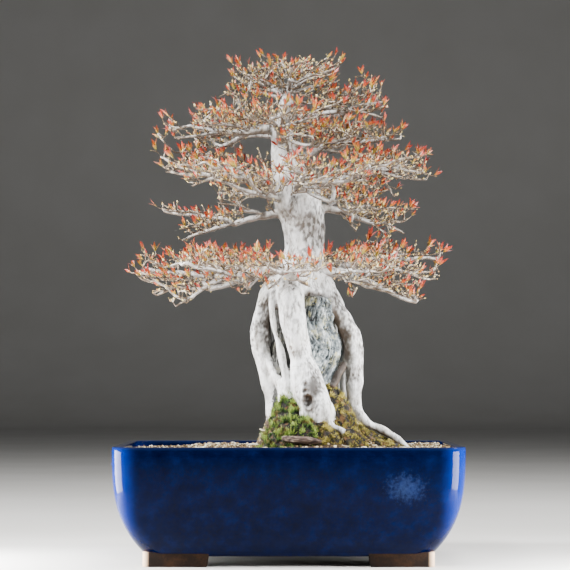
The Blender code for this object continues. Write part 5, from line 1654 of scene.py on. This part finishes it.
for name, spray in sprays.items():
    thick, thin, leaves, buds = [], [], [], []
    for run in spray.chains(FINE_TIP):
        rows = knotty(run)
        (thick if max(row[3] for row in rows) > THICK_TWIG else thin).append(rows)
        for row in rows[2::3]:
            if row[3] > BARE_RADIUS or leaf_draw.random() < BARE_SHARE:
                continue
            foot = Vector(row[:3])
            out = Vector((leaf_draw.uniform(-1, 1), leaf_draw.uniform(-1, 1), leaf_draw.uniform(-0.3, 1.2)))
            end = foot + out.normalized() * (leaf_draw.uniform(*SPUR_LENGTH) + 2.2 * row[3])
            thin.append([(*foot, 0.0006), (*foot.lerp(end, 0.55), 0.00052), (*end, 0.0004)])
            buds.append((end, turned(out, 0) * leaf_draw.uniform(*SPUR_BUD_SIZE), leaf_draw.random()))
    tips = np.array([spray.points[index] for index in spray.shoots])
    for index, aim in spray.shoots.items():
        foot = kinked(spray.points[index])
        ways = tips - spray.points[index]
        above = (np.linalg.norm(ways, axis=1) < SHADE_REACH) & (ways[:, 2] > SHADE_RISE)
        if leaf_draw.random() > (SHADED_OPEN_SHARE if above.sum() > 1 else OPEN_SHARE):
            buds.append((foot, turned(aim, 0) * leaf_draw.uniform(*BUD_SIZE), leaf_draw.random()))
            continue
        size = leaf_draw.uniform(*LEAF_SIZE) * (SHADED_SIZE if above.any() else 1)
        spots, stem = opened_shoot(foot, aim, size)
        leaves += spots
        thin.append([(*foot, 0.0005), stem])
    old_wood = girths(tubes(name + "_grown", thick, 2), thick)
    twigs = girths(tubes(name + "_twigs", thin, 0), thin)
    for wood in (old_wood, twigs):
        wood.data.materials.clear()
        wood.data.materials.append(bark)
    foliage = copies(name + "_leaves", leaf, leaves, [young_leaf])
    closed = copies(name + "_buds", bud, buds, [cream_bud])
    joined(old_wood, twigs, foliage, closed)
    bpy.ops.object.shade_smooth_by_angle(angle=math.radians(60))
    dress(old_wood, [name])
for shape in (leaf, bud):
    bpy.data.objects.remove(shape)

# %% [markdown]
# ## Moss
# Two mosses grow on the mound: a feathery bright green one on the left, with dark soil showing between
# its tufts, and drier olive cushions on the right. Each cushion is a low wrapped form that follows the
# ground, and sprouts are set on it: bunches of five thin cones, standing out from the surface. They
# stand in clumps, tall and bright in the middle of a clump, with bare dark gaps between one and the
# next. A few young sprouts stand on the soil round the cushion. One tuft in front of the front root's
# foot has no solid of its own: it is too low to matter to one.

# %% Model a sprout
SPIKES = ((0, 0, 1.0), (0.5, 0.0, 0.8), (0.6, 1.8, 0.6), (0.7, 3.2, 0.75), (0.55, 4.9, 0.65))

bpy.ops.mesh.primitive_cone_add(vertices=3, radius1=0.085, radius2=0, depth=1, location=(0, 0, 0.5))
sprout = added("sprout")
bpy.ops.object.transform_apply(location=True, rotation=True, scale=True)
bpy.ops.object.mode_set(mode="EDIT")
for lean, side, height in SPIKES[1:]:
    way = Vector((math.sin(lean) * math.cos(side), math.sin(lean) * math.sin(side), math.cos(lean)))
    bpy.ops.mesh.primitive_cone_add(vertices=3, radius1=0.08, radius2=0, depth=height,
                                    location=way * height / 2, rotation=(0, lean, side))
bpy.ops.object.mode_set(mode="OBJECT")
print("sprout:", len(sprout.data.polygons), "faces")

# %% Moss finishes
def moss_finish(name, stops):
    """A moss: dark and wet at the foot of a sprout, dry and bright at its tip, with withered brown spots."""
    material, tree, place = new_material(name, 0.9, Sheen_Weight=0.06)
    tip = add_node(tree, "Attribute", {"attribute_name": "tip"})
    shade = add_node(tree, "Attribute", {"attribute_name": "shade"})
    patch = add_node(tree, "TexNoise", {"Scale": 90.0, "Detail": 4.0, "Vector": place})
    own = add_node(tree, "Math", {"operation": "MULTIPLY_ADD", 0: shade["Fac"], 1: 0.45, 2: patch[0]})
    high = add_node(tree, "Math", {"operation": "MULTIPLY_ADD", 0: tip["Fac"], 1: 0.35, 2: own[0]})
    ramp = add_node(tree, "ValToRGB", {"Fac": high[0], "stops": stops})
    spots = add_node(tree, "TexNoise", {"Scale": 130.0, "Detail": 3.0, "Vector": place})
    dry = add_node(tree, "MapRange", {"From Min": 0.55, "From Max": 0.62, "To Max": 0.7, "Value": spots[0]})
    withered = add_node(tree, "Mix", {"data_type": "RGBA", 0: dry[0], 6: ramp[0], 7: "#6B4A22"})
    wire(tree, withered[2])
    return material


feather = moss_finish("fresh_feather_moss", ((0.56, "#100A04"), (0.72, "#182808"), (0.87, "#335C14"),
                                             (1.0, "#9CB050")))
cushion = moss_finish("dry_cushion_moss", ((0.54, "#100A04"), (0.68, "#363010"), (0.83, "#746C20"),
                                           (1.0, "#C6B860")))
print("moss finishes ready")

# %% Wrap the cushions and set the sprouts
# Each pad: middle x and y, half length, half width and height in mm, then the number of its sprouts,
# their height in mm, and which moss it is.
MOSS = {
    "moss_left": (-8, -56, 22, 27, 9, 2700, 6.4, feather),
    "moss_toe": (19, -74, 17, 10, 12, 1100, 4.8, feather),
    "moss_front": (41, -71, 18, 11, 9, 1300, 3.6, cushion),
    "moss_right": (60, -32, 19, 19, 12, 1600, 3.6, cushion),
    "moss_slope": (110, -24, 26, 23, 6, 1600, 3.2, cushion),
    "moss_cushion": (78, -67, 14, 13, 13, 1200, 2.7, cushion),
    "moss_back": (26, 76, 38, 20, 8, 1700, 4.2, feather),
}
MOSS_PROFILE = np.array(((0.1, -1), (1.0, -0.3), (1.0, 0.4), (0.82, 0.8), (0.45, 1.0), (0.02, 1.04)))
MOSS_SINK = 0.006
MOSS_BARE = -0.05
sow = random.Random(17)

for seed, (name, patch) in enumerate(MOSS.items()):
    middle_x, middle_y, half_x, half_y, depth = [value * MM for value in patch[:5]]
    number, height, finish = patch[5:]

    def moss_point(turn, share):
        """A point of a cushion that lies along the ground, lumpy, its edge sunk into the soil."""
        row = share * (len(MOSS_PROFILE) - 1)
        reach, lift = [float(np.interp(row, range(len(MOSS_PROFILE)), MOSS_PROFILE[:, i])) for i in (0, 1)]
        spot = Vector((math.cos(turn) * 1.4, math.sin(turn) * 1.4, reach + seed * 3.7))
        wide = reach * (1 + 0.16 * noise.noise(spot))
        x, y = middle_x + math.cos(turn) * half_x * wide, middle_y + math.sin(turn) * half_y * wide
        lump = 1 + 0.3 * noise.noise(spot * 2.1)
        above = depth * lift * lump * 0.86 if lift > 0 else MOSS_SINK * lift
        tuft = noise.noise(Vector((x, y, seed)) * 260) * 0.0014 * max(lift, 0)
        return x, y, ground(x, y) + above + tuft

    pad = wrapped(name + "_sod", 56, 24, moss_point)
    tops = [face for face in pad.data.polygons if face.normal.z > -0.1 and face.area > 0]
    weights = [face.area for face in tops]
    spots = []
    for face in sow.choices(tops, weights, k=number):
        corners = [pad.data.vertices[i].co for i in face.vertices]
        mix = [sow.random() for _ in corners]
        spot = sum((corner * share for corner, share in zip(corners, mix)), Vector()) / sum(mix)
        clump = noise.noise(spot * 150) + 0.5 * noise.noise(spot * 420)
        if clump < MOSS_BARE:
            continue
        way = face.normal * 0.6 + Vector((sow.uniform(-0.5, 0.5), sow.uniform(-0.5, 0.5), 0.7))
        size = height * sow.uniform(0.5, 1.1) * (0.7 + 1.4 * max(clump, 0)) * MM
        turn = turned(way, sow.uniform(0, 6)) * size
        spots.append((spot, turn, 0.5 * sow.random() + 0.5 * min(clump + 0.3, 1)))
    for _ in range(number // 9):
        way = sow.uniform(0, math.tau)
        far = 1.05 + 0.55 * sow.random() ** 2
        x, y = middle_x + half_x * far * math.cos(way), middle_y + half_y * far * math.sin(way)
        size = height * sow.uniform(0.5, 0.95) * MM
        lean = (sow.uniform(-0.5, 0.5), sow.uniform(-0.5, 0.5), 1)
        spots.append(((x, y, ground(x, y) - 0.0003), turned(lean, sow.uniform(0, 6)) * size, sow.random()))
    tufts = copies(name + "_tufts", sprout, spots, [finish])
    pad.data.materials.append(finish)
    joined(pad, tufts)
    dress(pad, [name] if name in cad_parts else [])
bpy.data.objects.remove(sprout)

# %% [markdown]
# ## The piece of dead bark
# A curved flake of old bark lies at the foot of the front root. It follows its path like the twigs do,
# but flatter than it is wide, and it is furrowed along its length, as dry bark is.

# %% Wrap the bark flake
# Rows of x, y, z and radius in mm.
BARK_PATH = np.array(((-8, -82, 145, 3.5), (6, -87, 143.5, 5), (22, -89, 142.5, 5), (38, -87, 141, 3)))


def bark_point(turn, share):
    """A point of the flake: a flat round section along the path, furrowed and frayed at both ends."""
    row = share * (len(BARK_PATH) - 1)
    x, y, z, radius = [float(np.interp(row, range(len(BARK_PATH)), BARK_PATH[:, i])) for i in range(4)]
    furrow = 1 + 0.20 * noise.noise(Vector((math.cos(turn) * 4.5, math.sin(turn) * 4.5, share * 2.0)))
    torn = 0.6 + 0.4 * noise.noise(Vector((turn * 3, 0, 9)))
    fray = 1 - 0.5 * max(0, abs(share - 0.5) * 2 - 0.8) * 5 * torn
    radius *= furrow * fray
    return x * MM, (y + radius * math.cos(turn)) * MM, (z + radius * 0.8 * math.sin(turn)) * MM


flake = wrapped("dead_bark_flake", 56, 70, bark_point)
face_outwards()

dead, tree, place = new_material("weathered_dead_bark", 0.88)
length_way = add_node(tree, "Mapping", {"Scale": (0.25, 1.0, 1.0), "Vector": place})
fibre = add_node(tree, "TexNoise", {"Scale": 420.0, "Detail": 5.0, "Vector": length_way[0]})
tone = add_node(tree, "ValToRGB", {"Fac": fibre[0], "stops": ((0.32, "#211815"), (0.50, "#53423B"),
                                                             (0.68, "#93806F"))})
grain = add_node(tree, "Bump", {"Strength": 0.8, "Distance": 0.0006, "Height": fibre[0]})
wire(tree, tone[0], grain[0])
dress(flake, ["bark_piece"], [dead])
